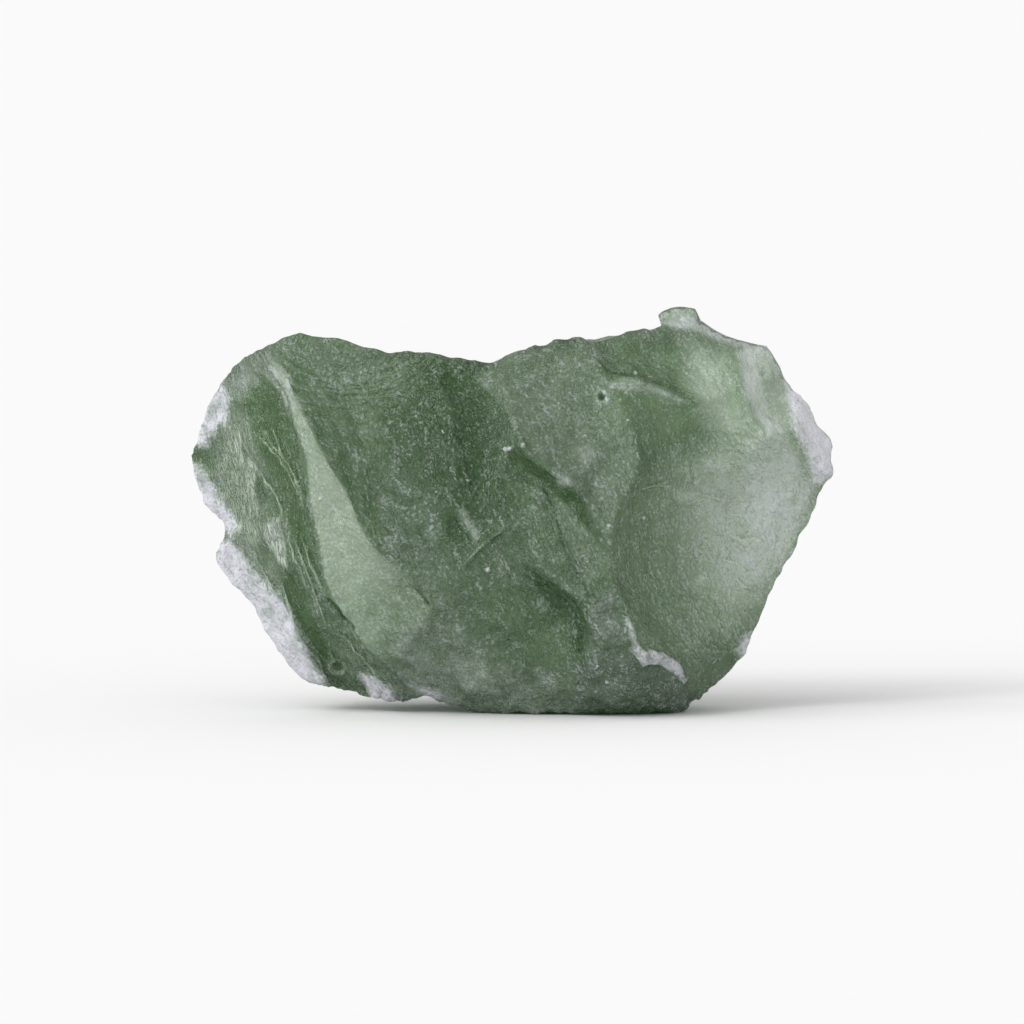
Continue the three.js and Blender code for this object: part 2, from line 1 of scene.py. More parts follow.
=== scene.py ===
# A raw moldavite: a broken and etched lump of green natural glass, standing on a pale floor.
import math
import bpy
import numpy as np
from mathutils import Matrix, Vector, noise


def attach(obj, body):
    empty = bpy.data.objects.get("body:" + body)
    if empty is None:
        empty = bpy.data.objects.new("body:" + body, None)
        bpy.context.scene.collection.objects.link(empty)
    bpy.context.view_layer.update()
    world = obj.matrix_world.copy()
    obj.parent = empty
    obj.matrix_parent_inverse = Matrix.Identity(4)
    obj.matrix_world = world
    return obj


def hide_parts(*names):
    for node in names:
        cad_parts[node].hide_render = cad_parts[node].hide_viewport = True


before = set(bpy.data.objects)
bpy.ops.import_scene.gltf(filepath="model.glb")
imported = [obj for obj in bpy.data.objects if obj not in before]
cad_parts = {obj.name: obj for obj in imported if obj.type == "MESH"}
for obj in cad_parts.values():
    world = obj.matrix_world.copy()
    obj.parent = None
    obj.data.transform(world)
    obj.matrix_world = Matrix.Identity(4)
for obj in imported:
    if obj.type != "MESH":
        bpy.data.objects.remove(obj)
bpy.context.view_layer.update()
mm = 0.001
print("frame loaded")


def linearColour(hexText, alpha=1.0):
    values = [int(hexText[i:i + 2], 16) / 255 for i in (1, 3, 5)]
    return [v / 12.92 if v <= 0.04045 else ((v + 0.055) / 1.055) ** 2.4 for v in values] + [alpha]


# Adds a node with its settings and inputs; an input is a value, a socket, or a node whose output is linked
def addNode(tree, kind, inputs=None, **settings):
    node = tree.nodes.new(kind)
    for name, value in settings.items():
        setattr(node, name, value)
    for name, value in (inputs or {}).items():
        if isinstance(value, bpy.types.Node):
            value = next(output for output in value.outputs if output.enabled)
        if isinstance(value, bpy.types.NodeSocket):
            tree.links.new(value, node.inputs[name])
        else:
            node.inputs[name].default_value = value
    return node


def smoothStep(value, low, high):
    share = np.clip((value - low) / (high - low), 0, 1)
    return share * share * (3 - 2 * share)


# Distance from each point to a bent line, the share of its length at the nearest place, and the side, 1 or -1
def nearLine(x, z, line):
    best = np.full(len(x), 1e9)
    along = np.zeros(len(x))
    side = np.ones(len(x))
    lengths = [math.dist(a, b) for a, b in zip(line, line[1:])]
    done = 0.0
    for (ax, az), (bx, bz), length in zip(line, line[1:], lengths):
        share = np.clip(((x - ax) * (bx - ax) + (z - az) * (bz - az)) / length ** 2, 0, 1)
        gap = np.hypot(x - ax - share * (bx - ax), z - az - share * (bz - az))
        nearer = gap < best
        best[nearer] = gap[nearer]
        along[nearer] = (done + share[nearer] * length) / sum(lengths)
        side[nearer] = np.sign((bx - ax) * (z - az) - (bz - az) * (x - ax))[nearer]
        done += length
    return best, along, side


# 1 inside a closed outline, 0 outside it, with an edge that is soft by the given width
def insideOutline(x, z, outline, soft):
    gap = nearLine(x, z, outline + outline[:1])[0]
    inside = np.zeros(len(x), bool)
    for (ax, az), (bx, bz) in zip(outline, outline[1:] + outline[:1]):
        crosses = (az > z) != (bz > z)
        inside ^= crosses & (x < ax + (z - az) * (bx - ax) / ((bz - az) or 1e-9))
    return smoothStep(np.where(inside, gap, -gap), -soft / 2, soft / 2)


# The stone: sizes in mm, places as (x, z) on the broken face
stone = {
    "mergeGap": 0.002,
    "sharpAngle": 24,  # degrees between faces that makes an edge a broken one
    "edgeCrease": 0.92,
    "shadeAngle": 40,
    "cornerBend": (0.4, 0.75),  # twice the sine of half the bend, where a corner begins and is full
    "frontDepth": 1.6,  # behind this y the mesh is coarse
    "fineReach": 0.4, "fineDepth": 1.2,  # how near a feature, and down to which y, the mesh is finer
    # a pair of limits is where something begins and where it is full
    "frontFacing": (-0.3, 0.1), "frontPlace": (-2.4, -1.2),  # the broken face, by -y of its normals and by -y
    "restRise": (0.02, 0.5),  # nothing moves at the resting spot
    "wanderLength": 0.8, "lineJitter": 0.07,  # outlines and cracks stray from their points
    "plainFrost": 0.2, "plainGrit": 0.5,
    # relief, and its share where there is no grit
    "swellHeight": 0.22, "swellLength": 1.5, "smoothSwell": 0.4,
    "chipHeight": 0.05, "chipLength": 0.5, "smoothChip": 0.15,
    "streakHeight": 0.07, "streakWidth": 0.42, "streakStretch": 5.0, "streakLean": -27,
    "streaksBegin": (-8.0, -5.0), "streaksEnd": (4.0, 6.0),
    "flankHeight": 0.16, "flankWidth": 0.34, "flankStretch": 7.0, "flankLevel": 0.35, "flankSoft": 0.3,
    # height, x of the middle flow line, spread
    "flankPath": [(18.5, -13.4, 0.9), (15.0, -12.4, 1.0), (12.0, -11.5, 1.05), (8.0, -10.9, 0.95),
                  (6.0, -10.4, 0.75), (4.0, -9.6, 0.6), (2.5, -8.7, 0.5), (1.0, -7.5, 0.45)],
    "flankOutline": [(-17.5, 18.0), (-13.6, 19.2), (-11.6, 16.6), (-11.1, 14.0), (-10.7, 11.5),
                     (-10.2, 8.6), (-9.8, 6.6), (-8.8, 5.2), (-7.2, 3.2), (-5.6, 1.6), (-5.6, 0.0),
                     (-17.5, 0.0)],
    "rimHeight": 0.045, "rimLength": 0.8,  # small teeth along the broken edges
    # folds, steps and wrinkles: strays, length of the fading ends, and mean, unevenness and least strength
    "lineWaver": 0.02, "lineEnd": 0.25, "lineBreaks": (0.85, 0.8, 0.2),
    "seamFade": 0.3,  # the material draws them out to here
    # folds get a painted highlight on the lip and painted shade beside it
    "foldHeight": 0.09, "foldWidth": 0.17, "foldTones": (0.78, 0.75),  # bright lip, dark shade
    "folds": [
        [(-13.7, 14.9), (-13.1, 14.6), (-12.6, 14.1), (-12.1, 13.5), (-11.6, 12.8), (-11.2, 12.0),
         (-10.8, 11.2), (-10.6, 10.3)],
        [(-12.9, 14.8), (-12.4, 14.2), (-11.8, 13.5), (-11.3, 12.7), (-11.0, 11.9), (-10.8, 11.3)],
        [(-13.3, 13.0), (-12.9, 12.5), (-12.5, 12.0), (-12.2, 11.4), (-12.0, 10.8), (-11.95, 10.1)],
        [(-12.45, 15.2), (-12.2, 14.5), (-11.9, 13.8), (-11.7, 13.4)],
        [(-11.7, 10.7), (-11.6, 9.9), (-11.45, 9.1), (-11.1, 8.1), (-10.7, 7.1), (-10.4, 6.2)],
        [(-11.5, 9.9), (-11.2, 9.1), (-10.9, 8.5), (-10.5, 7.4), (-10.1, 6.4), (-9.8, 5.4), (-9.6, 4.4)],
        [(-11.1, 9.8), (-10.7, 8.9), (-10.35, 7.9), (-10.0, 7.0), (-9.6, 6.3)],
        [(-9.6, 4.5), (-9.2, 4.35), (-8.7, 4.1), (-8.3, 3.6), (-7.8, 3.1), (-7.3, 2.5), (-6.7, 1.9)],
        [(-10.4, 3.4), (-10.1, 2.8), (-9.9, 2.2), (-9.5, 1.5)],
        [(-9.7, 3.7), (-9.45, 3.2), (-9.2, 2.6), (-8.7, 2.2), (-8.3, 1.7)],
        [(-14.8, 8.8), (-14.4, 8.0), (-14.0, 7.4), (-13.4, 7.1), (-12.9, 6.6), (-12.3, 6.3)],
        [(-13.9, 8.8), (-13.5, 8.3), (-13.2, 7.8), (-12.7, 7.1), (-12.2, 6.2), (-11.8, 5.2)],
        [(-12.4, 7.6), (-12.0, 6.7), (-11.6, 5.7), (-11.3, 4.7), (-11.0, 3.9)],
        [(-14.3, 15.0), (-14.1, 14.2), (-14.0, 13.4), (-14.2, 12.8)],
    ],
    "crackDepth": 0.1, "crackWidth": 0.07,
    "cracks": [
        [(-5.2, 7.1), (-4.7, 6.5), (-4.3, 6.1)],
        [(-9.5, 6.2), (-9.0, 5.5), (-8.6, 5.1), (-8.2, 4.6)],
        [(3.3, 5.6), (3.6, 4.5), (3.5, 3.4)],
        [(4.6, 18.6), (5.2, 18.05), (5.7, 17.95), (6.3, 17.85)],
        [(2.5, 9.8), (2.8, 9.0), (3.3, 8.0), (3.7, 7.3), (4.1, 6.5)],
    ],
    # wrinkles get the same painted highlight and painted shade
    "wrinkleHeight": 0.09, "wrinkleWidth": 0.13, "wrinkleTones": (0.45, 0.3),
    "wrinkles": [
        [(6.1, 11.8), (7.4, 12.1), (8.6, 12.0)],
        [(8.9, 11.6), (9.8, 11.5), (10.9, 11.2), (11.6, 11.1)],
        [(9.3, 13.2), (9.35, 12.0)],
        [(11.0, 8.0), (11.7, 7.9), (12.4, 7.3), (13.0, 7.2)],
        [(11.4, 9.4), (12.1, 9.0), (12.8, 9.1), (13.6, 8.6)],
        [(11.5, 7.3), (12.2, 6.6), (13.0, 6.3)],
        [(10.6, 7.0), (11.0, 8.1), (11.3, 8.9)],
    ],
    "ridgeHeight": 0.10, "ridgeWidth": 0.17,
    # each ridge: a painted highlight on its lip and painted shade beside it
    "ridges": [  # line, how bright its lip is, how dark its shade
        ([(0.1, 13.3), (1.35, 12.5), (2.05, 11.2), (2.4, 10.0), (2.9, 8.9), (3.6, 7.5), (4.0, 6.6)],
         0.1, 1.0),
        ([(0.0, 10.3), (-1.0, 9.6), (-2.0, 8.7), (-2.7, 7.9)], 0.4, 0.3),
        ([(-1.8, 17.4), (-0.3, 16.4), (0.4, 15.0), (0.7, 14.3), (2.2, 12.9)], 0.15, 0.15),
        ([(5.2, 17.8), (6.2, 17.6), (7.2, 17.4), (8.0, 17.0), (8.8, 16.6)], 0.2, 0.4),
        ([(5.4, 7.2), (5.9, 6.2), (6.15, 5.0)], 0.3, 0.4),
        ([(0.5, 8.2), (1.4, 7.4), (2.6, 6.7), (3.4, 6.0), (3.7, 5.0)], 0.1, 0.6),
    ],
    # pebbles: their share off the bowl, and how much fainter they are on the flank
    "plainPebbles": 0.45, "flankSmoothing": 0.8, "bowlSoft": 1.5,
    "bowl": [(6.3, 14.6), (5.6, 10.4), (5.4, 8.0), (6.8, 4.4), (9.0, 3.0), (11.5, 2.2), (17.0, 10.0),
             (17.0, 14.6), (13.0, 14.9), (9.0, 14.6)],
    "leastThreads": 0.3, "middleThreads": 0.35,  # pale threads along the flow, on the flank and in the middle
    "arcRise": 2.5, "arcFall": 4.0, "arcWobble": 0.12, "arcFacing": (0.3, 0.7),
    # curved ripples of the breaks: x and z that they spread from, -1 on the front or 1 on the back,
    # from where to where they reach, and their share
    "arcs": [(-8.4, 23.0, -1, 4.0, 9.5, 1.0), (4.0, 14.5, -1, 5.5, 12.5, 0.2),
             (-12.0, 18.0, 1, 3.0, 11.0, 0.5), (10.5, 17.5, 1, 3.0, 12.0, 0.45),
             (-2.0, 1.0, 1, 2.0, 8.0, 0.4)],
    # a pit's lip is raised and gets a painted highlight of the shine strength
    "pitSlope": 0.6, "pitLipWidth": 0.12, "pitLipHeight": 0.1, "pitLipShine": 0.5,
    # x, z, radius, depth
    "pits": {"bubble": (4.7, 16.8, 0.26, 0.35), "foot": (-9.1, 2.4, 0.4, 0.35),
             "shoulder": (13.2, 17.8, 0.35, 0.12)},
    # the ragged lower edge, and the edge of the resting spot, worn up here and there
    "footHeight": 0.22, "footLength": 0.8, "footRise": (0.6, 2.4), "footFront": (-1.0, 1.0),
    "soleHeight": 0.3, "soleLevel": 0.3, "soleEdge": (1.0, 3.0),
    "tabSmoothing": 0.85, "tabSoft": 0.6,
    # the hidden faces: strength, length and range of the noise
    "hiddenFrost": 0.35, "hiddenFrostLength": 5.0, "hiddenFrostRange": (-0.1, 0.6),
    "hiddenPale": 0.6, "hiddenPaleLength": 6.0,
    "hiddenGrit": 0.5, "hiddenGritLength": 4.0,
    "hiddenClayLength": 3.2, "hiddenClayRange": (0.5, 0.9), "hiddenClayAtEdges": 0.35,
    "crustHeight": 0.07, "crustUneven": 0.8, "crustSoft": 0.65, "crustFacing": (-0.4, 0.1),
    "crusts": [
        [(-15.2, 17.2), (-14.8, 16.5), (-15.0, 15.3), (-15.6, 14.7), (-16.0, 13.9), (-17.2, 14.0),
         (-16.6, 15.4)],
        [(-17.4, 13.2), (-16.3, 13.0), (-15.2, 11.2), (-14.2, 9.6), (-14.6, 9.1), (-15.4, 9.8),
         (-17.0, 11.3)],
        [(-15.6, 8.7), (-14.8, 9.0), (-13.6, 7.6), (-12.5, 6.6), (-11.6, 5.5), (-11.0, 4.2), (-10.5, 3.0),
         (-9.8, 2.0), (-9.7, 1.0), (-11.4, 1.4), (-13.0, 3.4), (-14.3, 5.4), (-15.8, 7.4)],
        [(-7.9, 2.2), (-7.0, 2.0), (-6.1, 1.3), (-5.9, 0.6), (-7.4, 0.5)],
        [(-5.2, 1.5), (-3.9, 1.3), (-2.4, 0.5), (-3.4, 0.4), (-4.6, 0.9)],
        [(14.4, 17.2), (14.6, 16.0), (14.8, 15.1), (15.2, 14.2), (15.6, 13.3), (15.9, 12.0), (17.8, 12.0),
         (17.8, 14.2), (16.5, 16.6), (15.4, 17.8)],
        [(11.7, 3.3), (12.6, 4.1), (12.9, 3.6), (12.1, 2.4)],
    ],
    "glintSpread": 1.6,
    # small white spots, partly chips and partly painted glints: x, z, radius
    "glints": [(-0.22, 14.12, 0.1), (-0.06, 14.18, 0.1), (-1.2, 7.9, 0.1), (6.9, 10.45, 0.1),
               (4.5, 2.8, 0.07), (4.7, 9.45, 0.08), (6.1, 15.6, 0.06), (5.1, 10.2, 0.07), (5.0, 1.9, 0.08),
               (-3.55, 15.0, 0.07), (-2.3, 12.5, 0.06), (4.85, 17.0, 0.08), (5.0, 16.65, 0.07),
               (0.65, 14.4, 0.06), (-9.9, 11.5, 0.06), (9.0, 20.6, 0.1), (6.5, 17.95, 0.09)],
    # the clay vein, faint at its upper end: strengths, and the heights between which it fades
    "veinHeight": 0.12, "veinSoft": 0.2, "veinStrength": (0.4, 0.8), "veinFade": (3.4, 4.8),
    "vein": [(6.0, 5.9), (6.3, 5.2), (6.5, 4.3), (6.8, 3.7), (7.1, 3.6), (7.85, 3.5), (8.7, 2.9),
             (9.25, 1.9), (9.05, 1.6), (8.65, 2.2), (7.8, 2.8), (7.25, 2.9), (6.85, 2.75), (6.45, 3.4),
             (6.15, 4.3), (5.95, 5.2)],
}

# What each area of the front looks like: its outline, how soft its edge is, and then pale from -1 (deep
# green) to 1, frost (grey bloom) and grit (sugary grain), both from 0. Pale is partly the glass's own tone
# and partly
# painted light and shade: painted light on faces turned to the lamps and on the chalk at the right rim,
# painted shade in the gully and in the zones named for shade
zones = {
    # painted light: the crescent is frosted, and is painted paler still because it faces the lamps
    "crescent": ([(-12.0, 16.6), (-11.2, 16.4), (-10.4, 15.3), (-10.0, 14.3), (-9.4, 13.4), (-8.7, 12.3),
                  (-8.2, 11.3), (-7.9, 10.3), (-7.4, 9.4), (-6.7, 8.7), (-6.0, 8.2), (-5.2, 7.1),
                  (-4.6, 5.8), (-5.0, 4.6), (-6.2, 3.4), (-7.5, 3.4), (-8.3, 4.3), (-8.6, 5.2),
                  (-9.2, 6.0), (-9.6, 6.8), (-9.8, 7.8), (-10.0, 9.0), (-10.2, 10.0), (-10.35, 11.0),
                  (-10.6, 12.5), (-10.7, 13.8), (-11.2, 15.0)], 0.15, 0.73, 0.2, 0.3),
    "crescentFoot": ([(-8.2, 5.4), (-5.6, 8.2), (-3.6, 6.4), (-3.4, 3.0), (-8.0, 2.6)], 2.6, 0.36, 0.25, 0.5),
    "dishTop": ([(-10.4, 18.9), (-6.0, 19.2), (-4.8, 17.5), (-5.0, 14.2), (-7.2, 13.0), (-8.6, 14.2),
                 (-10.0, 16.2)], 1.6, 0.15, 0.2, 0.7),
    "dishWall": ([(-10.6, 16.0), (-9.6, 15.0), (-8.4, 12.9), (-7.4, 11.2), (-6.2, 9.6), (-6.3, 8.6),
                  (-7.2, 9.2), (-8.2, 11.4), (-9.6, 13.6)], 0.7, 0.25, 0.05, 0.8),
    "dishFloor": ([(-7.4, 12.6), (-4.6, 12.8), (-3.0, 9.4), (-4.0, 6.4), (-6.4, 8.8)], 1.6, -0.15, 0.28, 1.6),
    "dishShade": ([(-7.0, 16.4), (-4.4, 16.8), (-3.0, 13.6), (-4.2, 12.4), (-6.4, 13.4)],
                  1.6, -0.3, 0.08, 0.8),
    "darkMiddle": ([(-4.8, 18.8), (-1.9, 18.3), (-0.6, 15.6), (-0.4, 13.0), (-0.4, 10.6), (-2.7, 8.6),
                    (-3.9, 11.0), (-5.0, 14.0)], 1.7, -0.45, 0.0, 0.25),
    "arch": ([(-1.9, 17.7), (0.0, 18.8), (4.3, 19.6), (4.9, 17.4), (5.6, 16.6), (6.3, 15.2), (6.8, 13.6),
              (5.8, 11.6), (5.0, 9.6), (3.7, 11.6), (2.6, 12.8), (1.4, 14.0), (0.3, 15.3), (-0.6, 16.3)],
             0.4, 0.25, 0.22, 0.8),
    "strip": ([(1.0, 12.4), (2.9, 11.4), (4.2, 10.2), (4.9, 8.2), (4.2, 6.8), (3.4, 8.0), (2.4, 10.0),
               (1.6, 11.6)], 0.6, 0.35, 0.1, 0.6),
    "wedge": ([(-0.1, 14.1), (0.8, 13.8), (2.2, 12.8), (3.6, 11.9), (4.0, 10.9), (4.3, 9.7), (3.6, 10.5),
               (2.9, 11.3), (1.4, 12.6), (0.2, 13.3)], 0.25, -0.25, 0.0, 0.1),
    # painted shade: the gully is a hollow, painted deep green
    "gully": ([(0.6, 8.4), (1.6, 7.6), (3.0, 6.7), (3.9, 5.9), (4.1, 4.8), (3.8, 3.6), (3.3, 3.4),
               (2.9, 4.9), (1.9, 6.2), (0.8, 7.4)], 0.35, -0.55, 0.0, 0.3),
    "smoothMiddle": ([(-1.4, 7.2), (0.8, 6.7), (1.9, 5.2), (3.0, 3.2), (3.2, 1.8), (1.9, 2.0), (0.4, 4.0),
                      (-1.0, 5.6)], 1.2, 0.24, 0.0, 0.1),
    "foot": ([(-6.4, 4.4), (-3.4, 5.4), (-1.0, 3.0), (3.0, 2.2), (3.4, -0.5), (-6.4, -0.5)],
             1.4, 0.0, 0.47, 1.2),
    "footBloom": ([(-2.9, 2.8), (-1.8, 3.2), (-0.9, 2.2), (-0.9, 1.2), (-1.8, 0.9), (-2.7, 1.8)],
                  1.3, 0.4, 0.5, 0.2),
    "knob": ([(5.5, 7.4), (4.2, 6.2), (4.1, 4.0), (3.3, 2.6), (3.3, -0.5), (9.6, -0.5), (9.3, 1.9),
              (8.3, 3.2), (6.8, 3.5), (6.1, 4.6), (5.9, 6.0)], 0.25, -0.75, 0.3, 1.3),
    "knobTop": ([(5.5, 7.5), (5.2, 6.9), (4.2, 6.2), (4.0, 5.4), (4.1, 3.8), (6.2, 4.0), (6.0, 5.4),
                 (5.8, 6.3)], 0.3, -0.75, 0.38, 0.8),
    "bowlWall": ([(6.9, 13.4), (5.6, 10.4), (5.2, 8.5), (6.0, 6.2), (6.9, 4.0), (9.4, 3.2), (9.6, 5.0),
                  (8.4, 8.0), (8.6, 11.0)], 2.2, 0.45, 0.0, 0.4),
    "bowlMiddle": ([(8.2, 14.0), (12.0, 14.2), (13.4, 10.0), (12.6, 4.0), (9.4, 3.4), (8.2, 7.0),
                    (7.8, 11.0)], 2.4, 0.68, 0.15, 0.8),
    # painted light: the right side of the bowl faces the lamps and is painted pale and frosted, with a
    # painted glow at its brightest place
    "bowlLit": ([(10.6, 13.4), (14.5, 14.2), (16.2, 12.3), (15.0, 9.0), (13.8, 6.5), (12.2, 5.4),
                 (10.6, 7.0), (9.8, 10.0)], 3.0, 1.0, 0.6, 0.8),
    "bowlGlow": ([(13.0, 13.4), (15.0, 13.6), (15.8, 11.6), (14.8, 8.8), (13.6, 7.4), (12.4, 8.8),
                  (12.7, 11.2)], 2.4, 1.0, 0.95, 0.8),
    # painted light over the shaded crease at the top of the bowl
    "bowlBrow": ([(12.4, 15.0), (15.0, 15.0), (15.4, 13.6), (14.4, 13.3), (12.4, 13.8)], 0.8, 1.0, 0.7, 0.3),
    # painted light: the part of the upper scar that faces the lamps
    "scarLit": ([(9.4, 19.2), (11.6, 18.8), (12.2, 16.6), (13.2, 15.2), (12.8, 14.2), (11.2, 14.1),
                 (10.0, 15.6), (9.2, 17.2)], 2.4, 0.85, 0.25, 0.1),
    "scarShade": ([(5.4, 17.2), (8.0, 16.7), (9.5, 15.6), (8.4, 14.2), (7.0, 13.6), (6.2, 15.4)],
                  1.0, 0.3, 0.0, 0.1),
    "ledgeShade": ([(4.4, 18.4), (5.4, 18.0), (6.6, 18.1), (8.6, 17.4), (9.8, 16.4), (9.2, 16.2),
                    (7.2, 17.2), (5.2, 17.7)], 0.6, 0.0, 0.0, 0.2),
    "ledgeBloom": ([(4.8, 17.65), (6.6, 17.6), (7.9, 17.15), (9.2, 16.5), (8.8, 16.35), (7.8, 16.75),
                    (6.5, 17.15), (5.1, 17.3)], 0.5, 0.35, 0.6, 0.9),
    "paleBand": ([(11.9, 18.8), (12.2, 17.0), (12.9, 15.6), (13.6, 14.5), (15.2, 15.0), (14.8, 16.8),
                  (13.6, 19.4), (12.3, 19.6)], 0.6, 1.0, 0.9, 0.3),
    "shoulder": ([(12.9, 18.2), (14.0, 18.2), (14.8, 16.6), (14.6, 15.0), (13.6, 15.6), (13.1, 16.9)],
                 0.7, 0.6, 0.5, 0.2),
    "veeBloom": ([(-2.9, 11.0), (-2.5, 11.1), (-1.6, 9.6), (-1.9, 9.4)], 0.4, 0.3, 0.7, 0.6),
    "archBloom": ([(3.5, 14.1), (4.1, 14.3), (4.4, 13.8), (3.8, 13.4)], 0.5, 0.4, 0.7, 0.5),
    "archFootBloom": ([(2.2, 13.0), (2.9, 12.9), (3.1, 12.4), (2.5, 12.3)], 0.4, 0.4, 0.7, 0.5),
    "bowlChip": ([(8.5, 11.8), (9.7, 11.5), (10.9, 11.0), (10.8, 10.8), (9.5, 11.05), (8.6, 11.25)],
                 0.5, 0.9, 0.4, 0.3),
    "bowlPebble": ([(9.8, 7.2), (10.2, 7.2), (10.2, 6.8), (9.8, 6.8)], 0.35, 1.0, 0.4, 0.2),
    "tab": ([(7.3, 20.3), (7.3, 21.6), (10.0, 21.8), (12.6, 20.0), (13.6, 19.4), (12.0, 19.0), (9.8, 19.9),
             (9.0, 20.1)], 0.4, -0.3, 0.9, 0.0),
    "flankBand": ([(-12.0, 7.6), (-11.2, 7.4), (-10.3, 5.0), (-9.5, 3.4), (-10.3, 2.6), (-11.0, 3.6),
                   (-11.8, 5.4)], 0.5, -0.1, 0.0, 0.1),
    "flankShade": ([(-14.6, 17.3), (-12.3, 18.3), (-11.5, 16.2), (-11.1, 13.0), (-10.6, 10.0),
                    (-10.2, 8.0), (-11.2, 8.6), (-12.1, 11.6), (-13.1, 14.5)], 0.6, 0.0, 0.0, 0.1),
    "flankPale": ([(-15.2, 15.6), (-13.9, 15.5), (-13.2, 13.0), (-12.9, 10.8), (-13.3, 8.4), (-14.6, 9.6),
                   (-15.6, 12.4)], 1.0, 0.55, 0.25, 0.3),
    "flankChip": ([(-12.9, 9.9), (-12.1, 10.5), (-11.9, 9.2), (-11.6, 7.7), (-12.7, 8.7)],
                  0.3, 1.0, 0.55, 0.1),
    "flankBloom": ([(-15.4, 9.0), (-14.0, 9.3), (-12.6, 7.4), (-11.9, 5.2), (-10.6, 2.8), (-10.4, 0.6),
                    (-15.6, 6.0)], 1.0, 0.1, 0.55, 0.5),
    "flankLens": ([(-14.5, 14.8), (-14.2, 14.5), (-14.0, 13.6), (-14.25, 12.9), (-14.6, 13.8)],
                  0.25, 1.0, 0.35, 0.1),
    "flankSpot": ([(-13.9, 13.0), (-13.3, 13.2), (-13.1, 12.2), (-13.5, 11.4), (-14.0, 12.0)],
                  0.4, 0.95, 0.2, 0.1),
    "flankDark": ([(-13.3, 12.5), (-12.9, 12.3), (-12.7, 11.3), (-13.1, 10.9), (-13.4, 11.6)],
                  0.3, -0.3, 0.0, 0.1),
    "browStreak": ([(-13.3, 18.8), (-12.6, 18.6), (-11.6, 17.8), (-11.3, 16.9), (-10.9, 16.2),
                    (-11.5, 15.9), (-12.3, 17.2), (-13.1, 18.1)], 0.5, 0.5, 0.7, 0.5),
    # the glass beside the chalk at the right rim, painted paler, which paints the chalk there paler too, as
    # painted light
    "chalkShade": ([(14.7, 15.6), (15.1, 14.8), (15.5, 13.7), (15.9, 12.7), (15.5, 12.3), (15.0, 13.4),
                    (14.4, 14.8)], 1.0, 0.6, 0.2, 0.5),
    # painted light: paints the chalk at the right rim paler, where it faces away from the lamps
    "chalkEdge": ([(15.1, 16.8), (15.2, 15.2), (15.7, 13.8), (16.2, 12.6), (17.9, 12.2), (17.9, 14.4),
                   (16.4, 17.0)], 0.5, 1.0, 0.3, 0.3),
    "bowlRim": ([(16.6, 12.4), (16.0, 10.6), (15.4, 9.2), (14.7, 7.6), (13.8, 6.4), (13.7, 6.7),
                 (14.4, 7.9), (15.05, 9.4), (15.6, 10.8), (16.2, 12.2)], 0.3, 0.4, 0.5, 0.6),
    "browBloom": ([(-15.4, 17.0), (-14.5, 18.3), (-13.2, 19.0), (-12.5, 18.4), (-13.8, 16.7),
                   (-14.9, 16.2)], 0.8, 0.0, 0.6, 0.5),
}


def keepOnMesh(mesh, name, values):
    mesh.attributes.new(name, "FLOAT", "POINT").data.foreach_set("value", values)


def selectFaces(piece, chosen):
    bpy.ops.object.mode_set(mode="EDIT")
    bpy.ops.mesh.select_mode(type="FACE")
    bpy.ops.mesh.select_all(action="DESELECT")
    bpy.ops.object.mode_set(mode="OBJECT")
    piece.data.polygons.foreach_set("select", chosen)
    bpy.ops.object.mode_set(mode="EDIT")


def faceCentres(piece):
    centres = np.zeros(len(piece.data.polygons) * 3)
    piece.data.polygons.foreach_get("center", centres)
    return centres.reshape(-1, 3) / mm


# A merged copy of the CAD stone, with its broken edges selected
def copyStone():
    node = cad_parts["moldavite"]
    bpy.ops.object.select_all(action="DESELECT")
    piece = node.copy()
    piece.data = node.data.copy()
    piece.name = "moldaviteStone"
    bpy.context.scene.collection.objects.link(piece)
    bpy.context.view_layer.objects.active = piece
    piece.select_set(True)
    bpy.ops.object.mode_set(mode="EDIT")
    bpy.ops.mesh.select_all(action="SELECT")
    bpy.ops.mesh.remove_doubles(threshold=stone["mergeGap"] * mm)
    bpy.ops.mesh.select_mode(type="EDGE")
    bpy.ops.mesh.select_all(action="DESELECT")
    bpy.ops.mesh.edges_select_sharp(sharpness=math.radians(stone["sharpAngle"]))
    bpy.ops.object.mode_set(mode="OBJECT")
    return piece


# Broken edges stay crisp when the stone is smoothed, and so does a corner where two of them meet at a bend
def creaseBrokenEdges(piece):
    mesh = piece.data
    broken = np.zeros(len(mesh.edges), bool)
    mesh.edges.foreach_get("select", broken)
    crease = mesh.attributes.new("crease_edge", "FLOAT", "EDGE")
    crease.data.foreach_set("value", broken * stone["edgeCrease"])
    ends = np.zeros(len(mesh.edges) * 2, int)
    mesh.edges.foreach_get("vertices", ends)
    starts, stops = ends.reshape(-1, 2)[broken].T
    corners = np.zeros(len(mesh.vertices) * 3)
    mesh.vertices.foreach_get("co", corners)
    corners = corners.reshape(-1, 3)
    headings = corners[stops] - corners[starts]
    headings /= np.linalg.norm(headings, axis=1)[:, None]
    pull = np.zeros(corners.shape)
    np.add.at(pull, starts, headings)
    np.add.at(pull, stops, -headings)
    meeting = np.bincount(np.concatenate([starts, stops]), minlength=len(corners))
    bend = np.linalg.norm(pull, axis=1) * (meeting == 2)
    keepOnMesh(mesh, "brokenEdge", np.minimum(meeting, 1.0))
    keepOnMesh(mesh, "crease_vert", stone["edgeCrease"] * smoothStep(bend, *stone["cornerBend"]))


